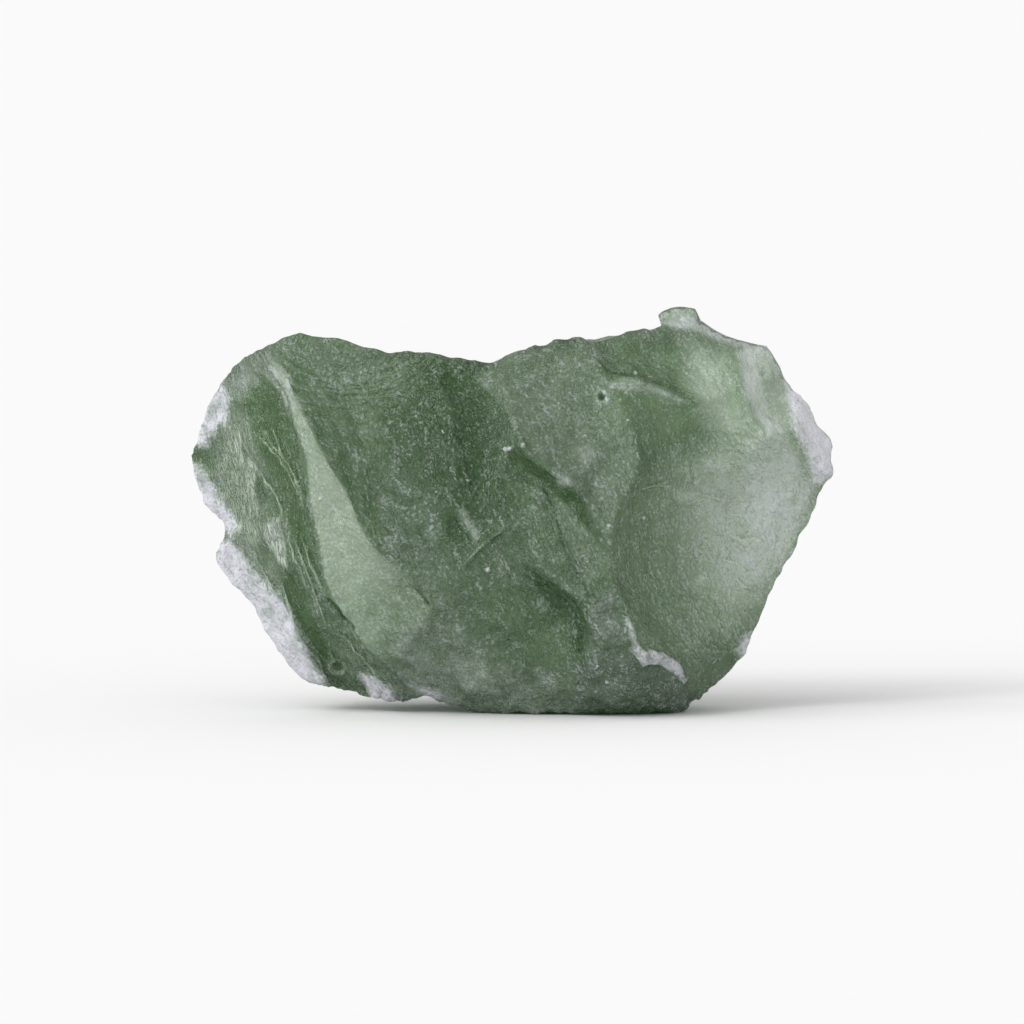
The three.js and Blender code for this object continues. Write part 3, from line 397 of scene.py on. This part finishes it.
# The back needs less of a mesh, and the folded flank, the steps and the cracks a finer one
def shareOutMesh(piece):
    selectFaces(piece, faceCentres(piece)[:, 1] > stone["frontDepth"])
    bpy.ops.mesh.unsubdivide(iterations=2)
    bpy.ops.object.mode_set(mode="OBJECT")
    x, y, z = faceCentres(piece).T
    fine = np.zeros(len(x), bool)
    ridges = [line for line, lip, shade in stone["ridges"]]
    for line in stone["folds"] + ridges + stone["cracks"] + [stone["vein"]]:
        fine |= nearLine(x, z, line)[0] < stone["fineReach"]
    for chipX, chipZ, radius in stone["glints"]:
        fine |= np.hypot(x - chipX, z - chipZ) < stone["fineReach"]
    selectFaces(piece, fine & (y < stone["fineDepth"]))
    bpy.ops.mesh.subdivide(number_cuts=1, smoothness=0)
    bpy.ops.mesh.select_all(action="DESELECT")
    bpy.ops.object.mode_set(mode="OBJECT")


def makeStone():
    piece = copyStone()
    creaseBrokenEdges(piece)
    smooth = piece.modifiers.new("smoothed", "SUBSURF")
    smooth.levels = smooth.render_levels = 2
    bpy.ops.object.modifier_apply(modifier=smooth.name)
    shareOutMesh(piece)
    print("stone copied and smoothed:", sum(len(p.vertices) - 2 for p in piece.data.polygons), "triangles")
    return piece


noiseFalloff = 0.8
noiseStep = 2.1  # each octave is this much finer than the one before
# every noise starts at a place of its own, so that no two of them rise and fall together
noiseStarts = {"swell": 3.0, "chip": 5.0, "streak": 8.0, "wanderX": 11.0, "rim": 13.0, "flank": 14.0,
               "hiddenFrost": 17.0, "hiddenPale": 21.0, "hiddenGrit": 23.0, "wanderZ": 27.0,
               "hiddenClay": 31.0, "foot": 37.0, "sole": 41.0}


def noiseAt(points, length, start, octaves=2):
    away = Vector((noiseStarts[start], 0, 0))
    return np.array([noise.fractal(Vector(p) / length + away, noiseFalloff, noiseStep, octaves)
                     for p in points])


def meshArrays(piece):
    mesh = piece.data
    points = np.zeros(len(mesh.vertices) * 3)
    mesh.vertices.foreach_get("co", points)
    normals = np.zeros(len(mesh.vertices) * 3)
    mesh.vertex_normals.foreach_get("vector", normals)
    brokenEdge = np.zeros(len(mesh.vertices))
    mesh.attributes["brokenEdge"].data.foreach_get("value", brokenEdge)
    return points.reshape(-1, 3) / mm, normals.reshape(-1, 3), brokenEdge


# How pale, frosted and gritty each place of the front is, its pale holding painted light and shade too;
# a later zone lies over an earlier one
def zonesWithPaintedLight(x, z, front):
    pale = np.zeros(len(x))
    frost = np.full(len(x), stone["plainFrost"])
    grit = np.full(len(x), stone["plainGrit"])
    for outline, soft, paleness, bloom, grain in zones.values():
        share = insideOutline(x, z, outline, soft) * front
        pale += share * (paleness - pale)
        frost += share * (bloom - frost)
        grit += share * (grain - grit)
    return pale, frost, grit


# Clay crust, the clay vein, and the small white spots, which are partly chips and partly painted glints
def clayCrustAndGlints(points, normals, x, z, front):
    crust = np.zeros(len(x))
    for outline in stone["crusts"]:
        crust = np.maximum(crust, insideOutline(x, z, outline, stone["crustSoft"]))
    crust *= smoothStep(-normals[:, 1], *stone["crustFacing"])
    for chipX, chipZ, radius in stone["glints"]:
        gap = np.hypot(points[:, 0] - chipX, points[:, 2] - chipZ)
        chip = smoothStep(stone["glintSpread"] * radius - gap, 0.0, radius)
        crust = np.maximum(crust, chip * front)
    faint, full = stone["veinStrength"]
    vein = insideOutline(x, z, stone["vein"], stone["veinSoft"]) * front
    vein *= full + (faint - full) * smoothStep(z, *stone["veinFade"])
    return np.maximum(crust, vein), vein


# Where the glass flowed: along the stretched folds on the flank, and along the lean of the streaks elsewhere
def glassFlow(points, flank):
    lean = math.radians(stone["streakLean"])
    along = points[:, 2] * math.cos(lean) + points[:, 0] * math.sin(lean)
    across = points[:, 0] * math.cos(lean) - points[:, 2] * math.sin(lean)
    width = stone["streakWidth"]
    stretched = width * stone["streakStretch"]
    leaning = np.column_stack([across / width, points[:, 1] / width, along / stretched])
    heights, middles, spreads = np.array(stone["flankPath"][::-1]).T
    across = points[:, 0] - np.interp(points[:, 2], heights, middles)
    across /= np.interp(points[:, 2], heights, spreads)
    width = stone["flankWidth"]
    stretched = width * stone["flankStretch"]
    folded = np.column_stack([across / width, 0 * across, points[:, 2] / stretched])
    return np.where(flank[:, None] > 0.5, folded, leaning)


# Distance from where the curved ripples spread, and their share, which fades out where two sets of them meet
def breakRipples(points, normals, wander):
    reaches, shares = [], []
    for fromX, fromZ, side, nearest, furthest, share in stone["arcs"]:
        reach = np.hypot(points[:, 0] - fromX, points[:, 2] - fromZ)
        begun = smoothStep(reach, nearest, nearest + stone["arcRise"])
        ended = smoothStep(reach, furthest - stone["arcFall"], furthest)
        facing = smoothStep(side * normals[:, 1], *stone["arcFacing"])
        reaches.append(reach + stone["arcWobble"] * wander[0])
        shares.append(begun * (1 - ended) * share * facing)
    arc = np.take_along_axis(np.array(reaches), np.argmax(shares, axis=0)[None], axis=0)[0]
    ranked = np.sort(shares, axis=0)
    return arc, ranked[-1] - ranked[-2]


# Folds, steps and wrinkles: their relief, and for the material the distance to the nearest one, below 0 on
# its left, with how strong the painted highlight on its lip is and how dark the painted shade beside it
def drawnLines(points, wander, front):
    lines = [(line, *stone["foldTones"], stone["foldHeight"], stone["foldWidth"]) for line in stone["folds"]]
    lines += [(line, *tones, stone["ridgeHeight"], stone["ridgeWidth"]) for line, *tones in stone["ridges"]]
    lines += [(line, *stone["wrinkleTones"], stone["wrinkleHeight"], stone["wrinkleWidth"])
              for line in stone["wrinkles"]]
    lift = np.zeros(len(points))
    seam = np.ones(len(points))
    seamHighlight = np.zeros(len(points))
    seamShade = np.zeros(len(points))
    x = points[:, 0] + stone["lineWaver"] * wander[0]
    z = points[:, 2] + stone["lineWaver"] * wander[1]
    mean, uneven, least = stone["lineBreaks"]
    for line, lip, shade, height, width in lines:
        gap, share, side = nearLine(x, z, line)
        ends = smoothStep(share, 0.0, stone["lineEnd"]) * smoothStep(1 - share, 0.0, stone["lineEnd"])
        kept = ends * np.clip(mean + uneven * wander[1], least, 1) * front
        lift += height * kept * np.exp(-(gap / width) ** 2)
        kept *= smoothStep(-gap, -stone["seamFade"], -stone["seamFade"] / 2)
        closer = gap < np.abs(seam)
        seam[closer] = (side * gap)[closer]
        seamHighlight[closer] = lip * kept[closer]
        seamShade[closer] = shade * kept[closer]
    return lift, seam, seamHighlight, seamShade


# Cracks are carved and painted dark along their line; pits are carved, with a raised lip that gets a painted
# highlight
def cracksAndPits(points, x, z, front):
    lift = np.zeros(len(x))
    dark = np.zeros(len(x))
    shine = np.zeros(len(x))
    for line in stone["cracks"]:
        gap = nearLine(x, z, line)[0]
        crack = np.exp(-(gap / stone["crackWidth"]) ** 2) * front
        lift -= stone["crackDepth"] * crack
        dark = np.maximum(dark, crack)
    for pitX, pitZ, radius, depth in stone["pits"].values():
        gap = np.hypot(points[:, 0] - pitX, points[:, 2] - pitZ)
        lift -= depth * np.exp(-(gap / (stone["pitSlope"] * radius)) ** 2) * front
        lip = np.exp(-((gap - radius) / stone["pitLipWidth"]) ** 2) * front
        lift += stone["pitLipHeight"] * lip
        shine = np.maximum(shine, stone["pitLipShine"] * lip)
    return lift, dark, shine


# The features of the stone's faces, as moves along the surface's normal and as masks for the material, which
# also carry painted light, painted shade and painted highlights
def weatherStone(piece):
    points, normals, brokenEdge = meshArrays(piece)
    front = smoothStep(-normals[:, 1], *stone["frontFacing"])
    front *= smoothStep(-points[:, 1], *stone["frontPlace"])
    raised = smoothStep(points[:, 2], *stone["restRise"])
    wander = [noiseAt(points, stone["wanderLength"], start, 3) for start in ("wanderX", "wanderZ")]
    x = points[:, 0] + stone["lineJitter"] * wander[0]
    z = points[:, 2] + stone["lineJitter"] * wander[1]

    pale, frost, grit = zonesWithPaintedLight(x, z, front)
    crust, vein = clayCrustAndGlints(points, normals, x, z, front)
    flank = insideOutline(points[:, 0], points[:, 2], stone["flankOutline"], stone["flankSoft"]) * front
    middle = smoothStep(points[:, 0], *stone["streaksBegin"]) * front
    middle *= 1 - smoothStep(points[:, 0], *stone["streaksEnd"])
    flow = glassFlow(points, flank)
    arc, arcShare = breakRipples(points, normals, wander)
    linesLift, seam, seamHighlight, seamShade = drawnLines(points, wander, front)
    marksLift, dark, shine = cracksAndPits(points, x, z, front)

    swelling = stone["smoothSwell"] + (1 - stone["smoothSwell"]) * np.clip(2 * grit, 0, 1)
    chipping = stone["smoothChip"] + (1 - stone["smoothChip"]) * grit
    lift = stone["swellHeight"] * swelling * noiseAt(points, stone["swellLength"], "swell")
    lift += stone["chipHeight"] * chipping * noiseAt(points, stone["chipLength"], "chip")
    lift += stone["streakHeight"] * middle * noiseAt(flow, 1.0, "streak")
    lift += stone["flankHeight"] * flank * (stone["flankLevel"] - np.abs(noiseAt(flow, 1.0, "flank")))
    lift += linesLift + marksLift
    lift += stone["crustHeight"] * crust * (1 + stone["crustUneven"] * wander[1]) + stone["veinHeight"] * vein
    lift += stone["rimHeight"] * brokenEdge * noiseAt(points, stone["rimLength"], "rim")
    ragged = 1 - smoothStep(points[:, 2], *stone["footRise"])
    ragged *= smoothStep(-points[:, 1], *stone["footFront"])
    lift += stone["footHeight"] * ragged * noiseAt(points, stone["footLength"], "foot", 3)
    lift *= 1 - stone["tabSmoothing"] * insideOutline(x, z, zones["tab"][0], stone["tabSoft"])

    # the hidden faces have the same glass, with bloom and crust where the noise puts them
    hidden = 1 - front
    bloom = smoothStep(noiseAt(points, stone["hiddenFrostLength"], "hiddenFrost"), *stone["hiddenFrostRange"])
    frost += hidden * stone["hiddenFrost"] * bloom
    pale += hidden * stone["hiddenPale"] * noiseAt(points, stone["hiddenPaleLength"], "hiddenPale")
    grit += hidden * stone["hiddenGrit"] * noiseAt(points, stone["hiddenGritLength"], "hiddenGrit")
    clay = noiseAt(points, stone["hiddenClayLength"], "hiddenClay", 3)
    clay += stone["hiddenClayAtEdges"] * brokenEdge
    crust = np.maximum(crust, hidden * smoothStep(clay, *stone["hiddenClayRange"]))

    points += normals * (lift * raised)[:, None]
    # the edge of the resting spot is worn up here and there
    atEdge = (1 - raised) * smoothStep(-points[:, 1], *stone["soleEdge"])
    worn = np.maximum(0, stone["soleLevel"] + noiseAt(points * (1, 0, 0), stone["footLength"], "sole"))
    points[:, 2] = np.maximum(points[:, 2] + stone["soleHeight"] * atEdge * worn, 0)

    onFlank = flank * np.clip(stone["leastThreads"] + pale, stone["leastThreads"], 1)
    streaky = np.maximum(onFlank, stone["middleThreads"] * middle)
    inBowl = insideOutline(x, z, stone["bowl"], stone["bowlSoft"]) * front
    pebbled = stone["plainPebbles"] + (1 - stone["plainPebbles"]) * inBowl
    pebbled *= 1 - stone["flankSmoothing"] * flank
    mesh = piece.data
    mesh.vertices.foreach_set("co", (points * mm).ravel())
    masks = {"pale": pale, "frost": frost, "grit": grit, "crust": crust, "shine": shine, "dark": dark,
             "arc": arc, "arcShare": arcShare, "streaky": streaky, "pebbled": pebbled,
             "seam": seam, "seamHighlight": seamHighlight, "seamShade": seamShade}
    for name, values in masks.items():
        keepOnMesh(mesh, name, values)
    mesh.attributes.new("flow", "FLOAT_VECTOR", "POINT").data.foreach_set("vector", flow.ravel())
    mesh.update()
    print("stone weathered")


def finishStone(piece):
    bpy.ops.object.select_all(action="DESELECT")
    bpy.context.view_layer.objects.active = piece
    piece.select_set(True)
    bpy.ops.object.shade_smooth_by_angle(angle=math.radians(stone["shadeAngle"]))
    piece.data.materials.clear()
    piece.data.materials.append(etchedGlass())
    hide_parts("moldavite")
    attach(piece, "root")


# Natural glass, etched satin by acid soil: light goes in and comes out green, the grain breaks its shine,
# and chalky clay is baked into the hollows at the rim. Its colour also holds painted light and shade from the
# zones, painted highlights and shade along the folds, and painted glints in the grain. Widths and depths in
# mm.
glass = {
    # light is the pale tone and also the colour of painted light and painted highlights; glint is the colour
    # of painted glints; the paler chalk colour is painted light on the chalk at the right rim
    "colours": {"deep": "#366227", "body": "#6E965B", "light": "#CBDDC4", "through": "#88C472",
                "bloom": "#CBD4CE", "glint": "#C6D3D0",
                "chalk": "#CDCDD5", "chalkStain": "#98A29E", "chalkPaintedLight": "#DADAE1"},
    "transmission": 0.74, "ior": 1.49, "density": 300,
    "frostBlocks": 0.35, "paleBlocks": 0.22, "shineBlocks": 0.4,  # how much less light these let through
    "roughness": 0.15, "frostRoughness": 0.2, "crustRoughness": 0.9,
    "threadTint": 0.75, "shineTint": 0.7, "darkTint": 0.8,  # how strongly these colour the glass
    "grainWidth": 0.15, "grainDepth": 0.20, "smoothGrain": 0.25,  # the last one where there is no grit
    "pebbleWidth": 0.23, "pebbleStretch": 1.4, "pebbleDepth": 0.095,
    # the crowns of the pebbles are painted paler, as painted highlights, and picked ones carry painted glints
    "crownPaleness": 0.45, "crownLevel": 0.7,
    "seamWidth": 0.075, "seamShade": 0.13, "seamDepth": 0.06,
    "flankFineness": 2.8, "threadWidth": 0.055, "streakDepth": 0.12,
    "driftShare": 0.45,
    "arcLength": 0.5, "arcDepth": 0.08,
    "patchWidth": 1.1, "speckSpacing": 1.3,
}
maskNames = ("pale", "frost", "grit", "crust", "shine", "dark", "arc", "arcShare", "streaky", "pebbled",
             "seam", "seamHighlight", "seamShade")


# Noises and cells of the glass: evenly in mm, along its flow, or longer along the lean of its streaks
def glassPatterns(tree):
    place = addNode(tree, "ShaderNodeTexCoord").outputs["Object"]
    flow = addNode(tree, "ShaderNodeAttribute", attribute_name="flow").outputs["Vector"]
    inMm = addNode(tree, "ShaderNodeMapping", {"Vector": place, "Scale": (1 / mm, 1 / mm, 1 / mm)})
    leaning = addNode(tree, "ShaderNodeMapping", {
        "Vector": place, "Rotation": (0, math.radians(stone["streakLean"]), 0),
        "Scale": [glass["pebbleWidth"] * mm * stretch for stretch in (1, 1, glass["pebbleStretch"])]},
        vector_type="TEXTURE")
    return {
        "grain": addNode(tree, "ShaderNodeTexNoise", {
            "Vector": inMm, "Scale": 1 / glass["grainWidth"], "Detail": 3, "Roughness": 0.55}),
        "patches": addNode(tree, "ShaderNodeTexNoise", {
            "Vector": inMm, "Scale": 1 / glass["patchWidth"], "Detail": 4, "Roughness": 0.65}),
        "specksAndSparkles": addNode(tree, "ShaderNodeTexVoronoi", {"Vector": inMm, "Scale": 1 / glass["speckSpacing"]}),
        "pebbles": addNode(tree, "ShaderNodeTexVoronoi", {"Vector": leaning, "Scale": 1.0}),
        "streaks": addNode(tree, "ShaderNodeTexNoise", {
            "Vector": flow, "Scale": glass["flankFineness"], "Detail": 2}),
        "drift": addNode(tree, "ShaderNodeTexNoise", {
            "Vector": flow, "Scale": 1.0, "Detail": 3, "Roughness": 0.65}),
    }


# What lies on the glass at a place, as shares from 0 to 1: sugary grain with painted glints on it and on
# picked pebble crowns, bloom in patches, clay crust with the white spots of painted glints, and on bare glass
# thin pale threads, where a noise along the flow passes its middle value
def glassCoverings(tree, onMesh, pattern):
    # painted glints on the crowns of picked pebbles, added to the sugary grain, which is partly painted
    # glints too
    crown = addNode(tree, "ShaderNodeMapRange", {
        "Value": pattern["pebbles"], "From Min": 0.15, "From Max": 0.5, "To Min": 1.0, "To Max": 0.0})
    picked = addNode(tree, "ShaderNodeMapRange", {
        "Value": pattern["pebbles"].outputs["Color"], "From Min": 0.4, "From Max": 0.75})
    crown = addNode(tree, "ShaderNodeMath", {0: crown, 1: picked}, operation="MULTIPLY")
    rough = addNode(tree, "ShaderNodeMapRange", {
        "Value": pattern["patches"], "From Min": 0.35, "From Max": 0.62, "To Min": 0.1, "To Max": 1.5})
    gritty = addNode(tree, "ShaderNodeMath", {
        0: onMesh["grit"], 1: rough}, operation="MULTIPLY", use_clamp=True)
    crystals = addNode(tree, "ShaderNodeMix", {
        0: glass["driftShare"], 2: pattern["grain"], 3: pattern["drift"]})
    sugarAndGlints = addNode(tree, "ShaderNodeMapRange", {
        "Value": crystals, "From Min": 0.51, "From Max": 0.61, "To Min": 0.0, "To Max": 0.75})
    sugarAndGlints = addNode(tree, "ShaderNodeMath", {0: sugarAndGlints, 1: crown}, operation="MAXIMUM")
    sugarAndGlints = addNode(tree, "ShaderNodeMath", {0: sugarAndGlints, 1: gritty}, operation="MULTIPLY")

    veil = addNode(tree, "ShaderNodeMapRange", {
        "Value": pattern["patches"], "From Min": 0.3, "From Max": 0.7, "To Min": 0.5, "To Max": 1.35})
    frost = addNode(tree, "ShaderNodeMath", {
        0: onMesh["frost"], 1: veil}, operation="MULTIPLY", use_clamp=True)

    crumbs = addNode(tree, "ShaderNodeMapRange", {
        "Value": crystals, "From Min": 0.35, "From Max": 0.65, "To Min": -0.45, "To Max": 0.45})
    crust = addNode(tree, "ShaderNodeMath", {0: crumbs, 1: onMesh["crust"]}, operation="ADD")
    crust = addNode(tree, "ShaderNodeMapRange", {"Value": crust, "From Min": 0.1, "From Max": 1.0})
    bare = addNode(tree, "ShaderNodeMath", {0: 1.0, 1: crust}, operation="SUBTRACT")

    thread = addNode(tree, "ShaderNodeMath", {0: pattern["streaks"], 1: 0.5}, operation="SUBTRACT")
    thread = addNode(tree, "ShaderNodeMath", {0: thread}, operation="ABSOLUTE")
    thread = addNode(tree, "ShaderNodeMapRange", {
        "Value": thread, "From Min": 0.0, "From Max": glass["threadWidth"], "To Min": 1.0, "To Max": 0.0})
    thread = addNode(tree, "ShaderNodeMath", {0: thread, 1: onMesh["streaky"]}, operation="MULTIPLY")
    thread = addNode(tree, "ShaderNodeMath", {0: thread, 1: bare}, operation="MULTIPLY")
    return {"sugarAndGlints": sugarAndGlints, "frost": frost, "crust": crust, "bare": bare, "thread": thread}


# A fold's lip gets a painted highlight in a thin line, with a thin painted shade beside it
def seamLines(tree, onMesh):
    lip = addNode(tree, "ShaderNodeMath", {0: onMesh["seam"]}, operation="ABSOLUTE")
    lip = addNode(tree, "ShaderNodeMapRange", {
        "Value": lip, "From Min": glass["seamWidth"] / 3, "From Max": glass["seamWidth"],
        "To Min": 1.0, "To Max": 0.0})
    lip = addNode(tree, "ShaderNodeMath", {0: lip, 1: onMesh["seamHighlight"]}, operation="MULTIPLY")
    shade = addNode(tree, "ShaderNodeMath", {0: onMesh["seam"], 1: glass["seamShade"]}, operation="SUBTRACT")
    shade = addNode(tree, "ShaderNodeMath", {0: shade}, operation="ABSOLUTE")
    shade = addNode(tree, "ShaderNodeMapRange", {
        "Value": shade, "From Min": 0.0, "From Max": glass["seamShade"], "To Min": 1.0, "To Max": 0.0})
    shade = addNode(tree, "ShaderNodeMath", {0: shade, 1: onMesh["seamShade"]}, operation="MULTIPLY")
    return lip, shade


def etchedGlass():
    material = bpy.data.materials.new("etchedNaturalGlass")
    material.use_nodes = True
    tree = material.node_tree
    tree.nodes.clear()
    onMesh = {name: addNode(tree, "ShaderNodeAttribute", attribute_name=name).outputs["Fac"]
              for name in maskNames}
    tint = {name: linearColour(hexText) for name, hexText in glass["colours"].items()}
    pattern = glassPatterns(tree)
    cover = glassCoverings(tree, onMesh, pattern)
    lip, shade = seamLines(tree, onMesh)

    # pale below 0 darkens to deep green and above 0 pales to the light colour: the glass's own tone, with the
    # zones' painted light and painted shade
    bodyShare = addNode(tree, "ShaderNodeMapRange", {
        "Value": onMesh["pale"], "From Min": -1.0, "From Max": 0.0})
    paleShare = addNode(tree, "ShaderNodeMapRange", {
        "Value": onMesh["pale"], "From Min": 0.0, "From Max": 1.0})
    # clay is stained in patches, and is painted paler where the glass is pale: painted light on the chalk at
    # the right rim
    clean = addNode(tree, "ShaderNodeMapRange", {
        "Value": pattern["patches"], "From Min": 0.32, "From Max": 0.52})
    chalk = addNode(tree, "ShaderNodeMix", {
        0: clean, 6: tint["chalkStain"], 7: tint["chalk"]}, data_type="RGBA")
    chalk = addNode(tree, "ShaderNodeMix", {
        0: paleShare, 6: chalk, 7: tint["chalkPaintedLight"]}, data_type="RGBA")
    # the crowns of the pebbles are painted paler than the hollows between them, as painted highlights
    hollow = addNode(tree, "ShaderNodeMapRange", {
        "Value": pattern["pebbles"], "From Min": 0.0, "From Max": 0.7}, interpolation_type="SMOOTHSTEP")
    paler = addNode(tree, "ShaderNodeMath", {0: glass["crownLevel"], 1: hollow}, operation="SUBTRACT")
    paler = addNode(tree, "ShaderNodeMath", {0: paler, 1: onMesh["pebbled"]}, operation="MULTIPLY")
    paleShare = addNode(tree, "ShaderNodeMath", {
        0: paler, 1: glass["crownPaleness"], 2: paleShare}, operation="MULTIPLY_ADD", use_clamp=True)

    # painted highlight on the lips of the folds and the pits, and painted shade beside the folds with the
    # dark of the cracks
    shine = addNode(tree, "ShaderNodeMath", {0: onMesh["shine"], 1: lip}, operation="MAXIMUM")
    dark = addNode(tree, "ShaderNodeMath", {0: onMesh["dark"], 1: shade}, operation="MAXIMUM")
    threadShare = addNode(tree, "ShaderNodeMath", {
        0: cover["thread"], 1: glass["threadTint"]}, operation="MULTIPLY")
    shineShare = addNode(tree, "ShaderNodeMath", {0: shine, 1: glass["shineTint"]}, operation="MULTIPLY")
    darkShare = addNode(tree, "ShaderNodeMath", {0: dark, 1: glass["darkTint"]}, operation="MULTIPLY")
    # sparse white specks in the chalk colour, partly chips and partly painted sparkle
    speckAndSparkleShare = addNode(tree, "ShaderNodeMapRange", {
        "Value": pattern["specksAndSparkles"], "From Min": 0.05, "From Max": 0.08, "To Min": 0.7, "To Max": 0.0})
    colour = addNode(tree, "ShaderNodeMix", {
        0: bodyShare, 6: tint["deep"], 7: tint["body"]}, data_type="RGBA")
    layers = [(paleShare, tint["light"]), (cover["frost"], tint["bloom"]), (cover["sugarAndGlints"], tint["glint"]),
              (threadShare, tint["bloom"]), (shineShare, tint["light"]), (darkShare, tint["deep"]),
              (speckAndSparkleShare, tint["chalk"]), (cover["crust"], chalk)]
    for share, layer in layers:
        colour = addNode(tree, "ShaderNodeMix", {0: share, 6: colour, 7: layer}, data_type="RGBA")

    # frosted and pale glass and the painted highlights let less light through, and clay lets none
    clear = addNode(tree, "ShaderNodeMath", {
        0: cover["frost"], 1: -glass["frostBlocks"], 2: glass["transmission"]}, operation="MULTIPLY_ADD")
    for share, blocks in ((paleShare, glass["paleBlocks"]), (shine, glass["shineBlocks"])):
        clear = addNode(tree, "ShaderNodeMath", {0: share, 1: -blocks, 2: clear}, operation="MULTIPLY_ADD")
    clear = addNode(tree, "ShaderNodeMath", {
        0: clear, 1: cover["bare"]}, operation="MULTIPLY", use_clamp=True)
    roughness = addNode(tree, "ShaderNodeMath", {
        0: cover["frost"], 1: glass["frostRoughness"], 2: glass["roughness"]}, operation="MULTIPLY_ADD")
    roughness = addNode(tree, "ShaderNodeMix", {0: cover["crust"], 2: roughness, 3: glass["crustRoughness"]})

    # relief too fine for the mesh, in units of the grain's depth
    grainShare = addNode(tree, "ShaderNodeMapRange", {
        "Value": onMesh["grit"], "From Min": 0.0, "From Max": 1.0,
        "To Min": glass["smoothGrain"], "To Max": 1.0})
    height = addNode(tree, "ShaderNodeMath", {0: pattern["grain"], 1: grainShare}, operation="MULTIPLY")
    wave = addNode(tree, "ShaderNodeMath", {
        0: onMesh["arc"], 1: 2 * math.pi / glass["arcLength"]}, operation="MULTIPLY")
    wave = addNode(tree, "ShaderNodeMath", {0: wave}, operation="SINE")
    wave = addNode(tree, "ShaderNodeMath", {0: wave, 1: onMesh["arcShare"]}, operation="MULTIPLY")
    hollow = addNode(tree, "ShaderNodeMath", {0: hollow, 1: onMesh["pebbled"]}, operation="MULTIPLY")
    relief = [(hollow, -glass["pebbleDepth"]), (cover["thread"], glass["streakDepth"]),
              (wave, glass["arcDepth"]), (lip, glass["seamDepth"]), (shade, -glass["seamDepth"] / 2)]
    for layer, depth in relief:
        height = addNode(tree, "ShaderNodeMath", {
            0: layer, 1: depth / glass["grainDepth"], 2: height}, operation="MULTIPLY_ADD")
    bump = addNode(tree, "ShaderNodeBump", {
        "Height": height, "Distance": glass["grainDepth"] * mm, "Strength": 1.0})
    surface = addNode(tree, "ShaderNodeBsdfPrincipled", {
        "Base Color": colour, "Roughness": roughness, "IOR": glass["ior"],
        "Transmission Weight": clear, "Normal": bump})
    inside = addNode(tree, "ShaderNodeVolumeAbsorption", {
        "Color": tint["through"], "Density": glass["density"]})
    addNode(tree, "ShaderNodeOutputMaterial", {"Surface": surface, "Volume": inside})
    return material


stonePiece = makeStone()
weatherStone(stonePiece)
finishStone(stonePiece)

# Floor, light and camera
setting = {
    "floorColour": "#F1F1F1", "floorSize": 8.0, "floorDrop": 0.00002,  # m
    "worldStrength": 0.70,
    # name, strength, direction that it comes from, spread in degrees
    "lamps": [("softKey", 1.56, (-0.70, -0.42, 0.58), 60), ("smallKey", 0.54, (-0.62, -0.52, 0.58), 18)],
    # m, degrees, and then mm
    "cameraDistance": 0.5, "cameraHeightAngle": 4.0, "sensorWidth": 36.0, "frameWidth": 53.9,
    "aim": (0.05, 0.0, 10.45),
}


def plainDiffuse(name, colour):
    material = bpy.data.materials.new(name)
    material.use_nodes = True
    shader = material.node_tree.nodes["Principled BSDF"]
    shader.inputs["Base Color"].default_value = colour
    shader.inputs["Roughness"].default_value = 0.9
    shader.inputs["Specular IOR Level"].default_value = 0.0
    return material


bpy.ops.object.select_all(action="DESELECT")
bpy.ops.mesh.primitive_plane_add(size=setting["floorSize"], location=(0, 0, -setting["floorDrop"]))
floor = bpy.context.object
floor.name = "floor"
floor.data.materials.append(plainDiffuse("paperFloor", linearColour(setting["floorColour"])))

world = bpy.data.worlds.new("whiteRoom")
bpy.context.scene.world = world
world.use_nodes = True
world.node_tree.nodes["Background"].inputs["Color"].default_value = (1, 1, 1, 1)
world.node_tree.nodes["Background"].inputs["Strength"].default_value = setting["worldStrength"]

for name, strength, direction, spread in setting["lamps"]:
    bpy.ops.object.light_add(type="SUN", location=(0, 0, 0.5))
    lamp = bpy.context.object
    lamp.name = name
    lamp.data.energy = strength
    lamp.data.angle = math.radians(spread)
    lamp.rotation_euler = Vector(direction).to_track_quat("Z", "Y").to_euler()

rise = math.radians(setting["cameraHeightAngle"])
aim = Vector(setting["aim"]) * mm
cameraPlace = aim + setting["cameraDistance"] * Vector((0, -math.cos(rise), math.sin(rise)))
bpy.ops.object.camera_add(location=cameraPlace)
camera = bpy.context.object
camera.rotation_euler = (cameraPlace - aim).to_track_quat("Z", "Y").to_euler()
camera.data.sensor_width = setting["sensorWidth"]
camera.data.lens = setting["sensorWidth"] * setting["cameraDistance"] / (setting["frameWidth"] * mm)
camera.data.clip_start = 0.01
bpy.context.scene.camera = camera
bpy.context.scene.view_settings.view_transform = "Standard"
print("stage set")
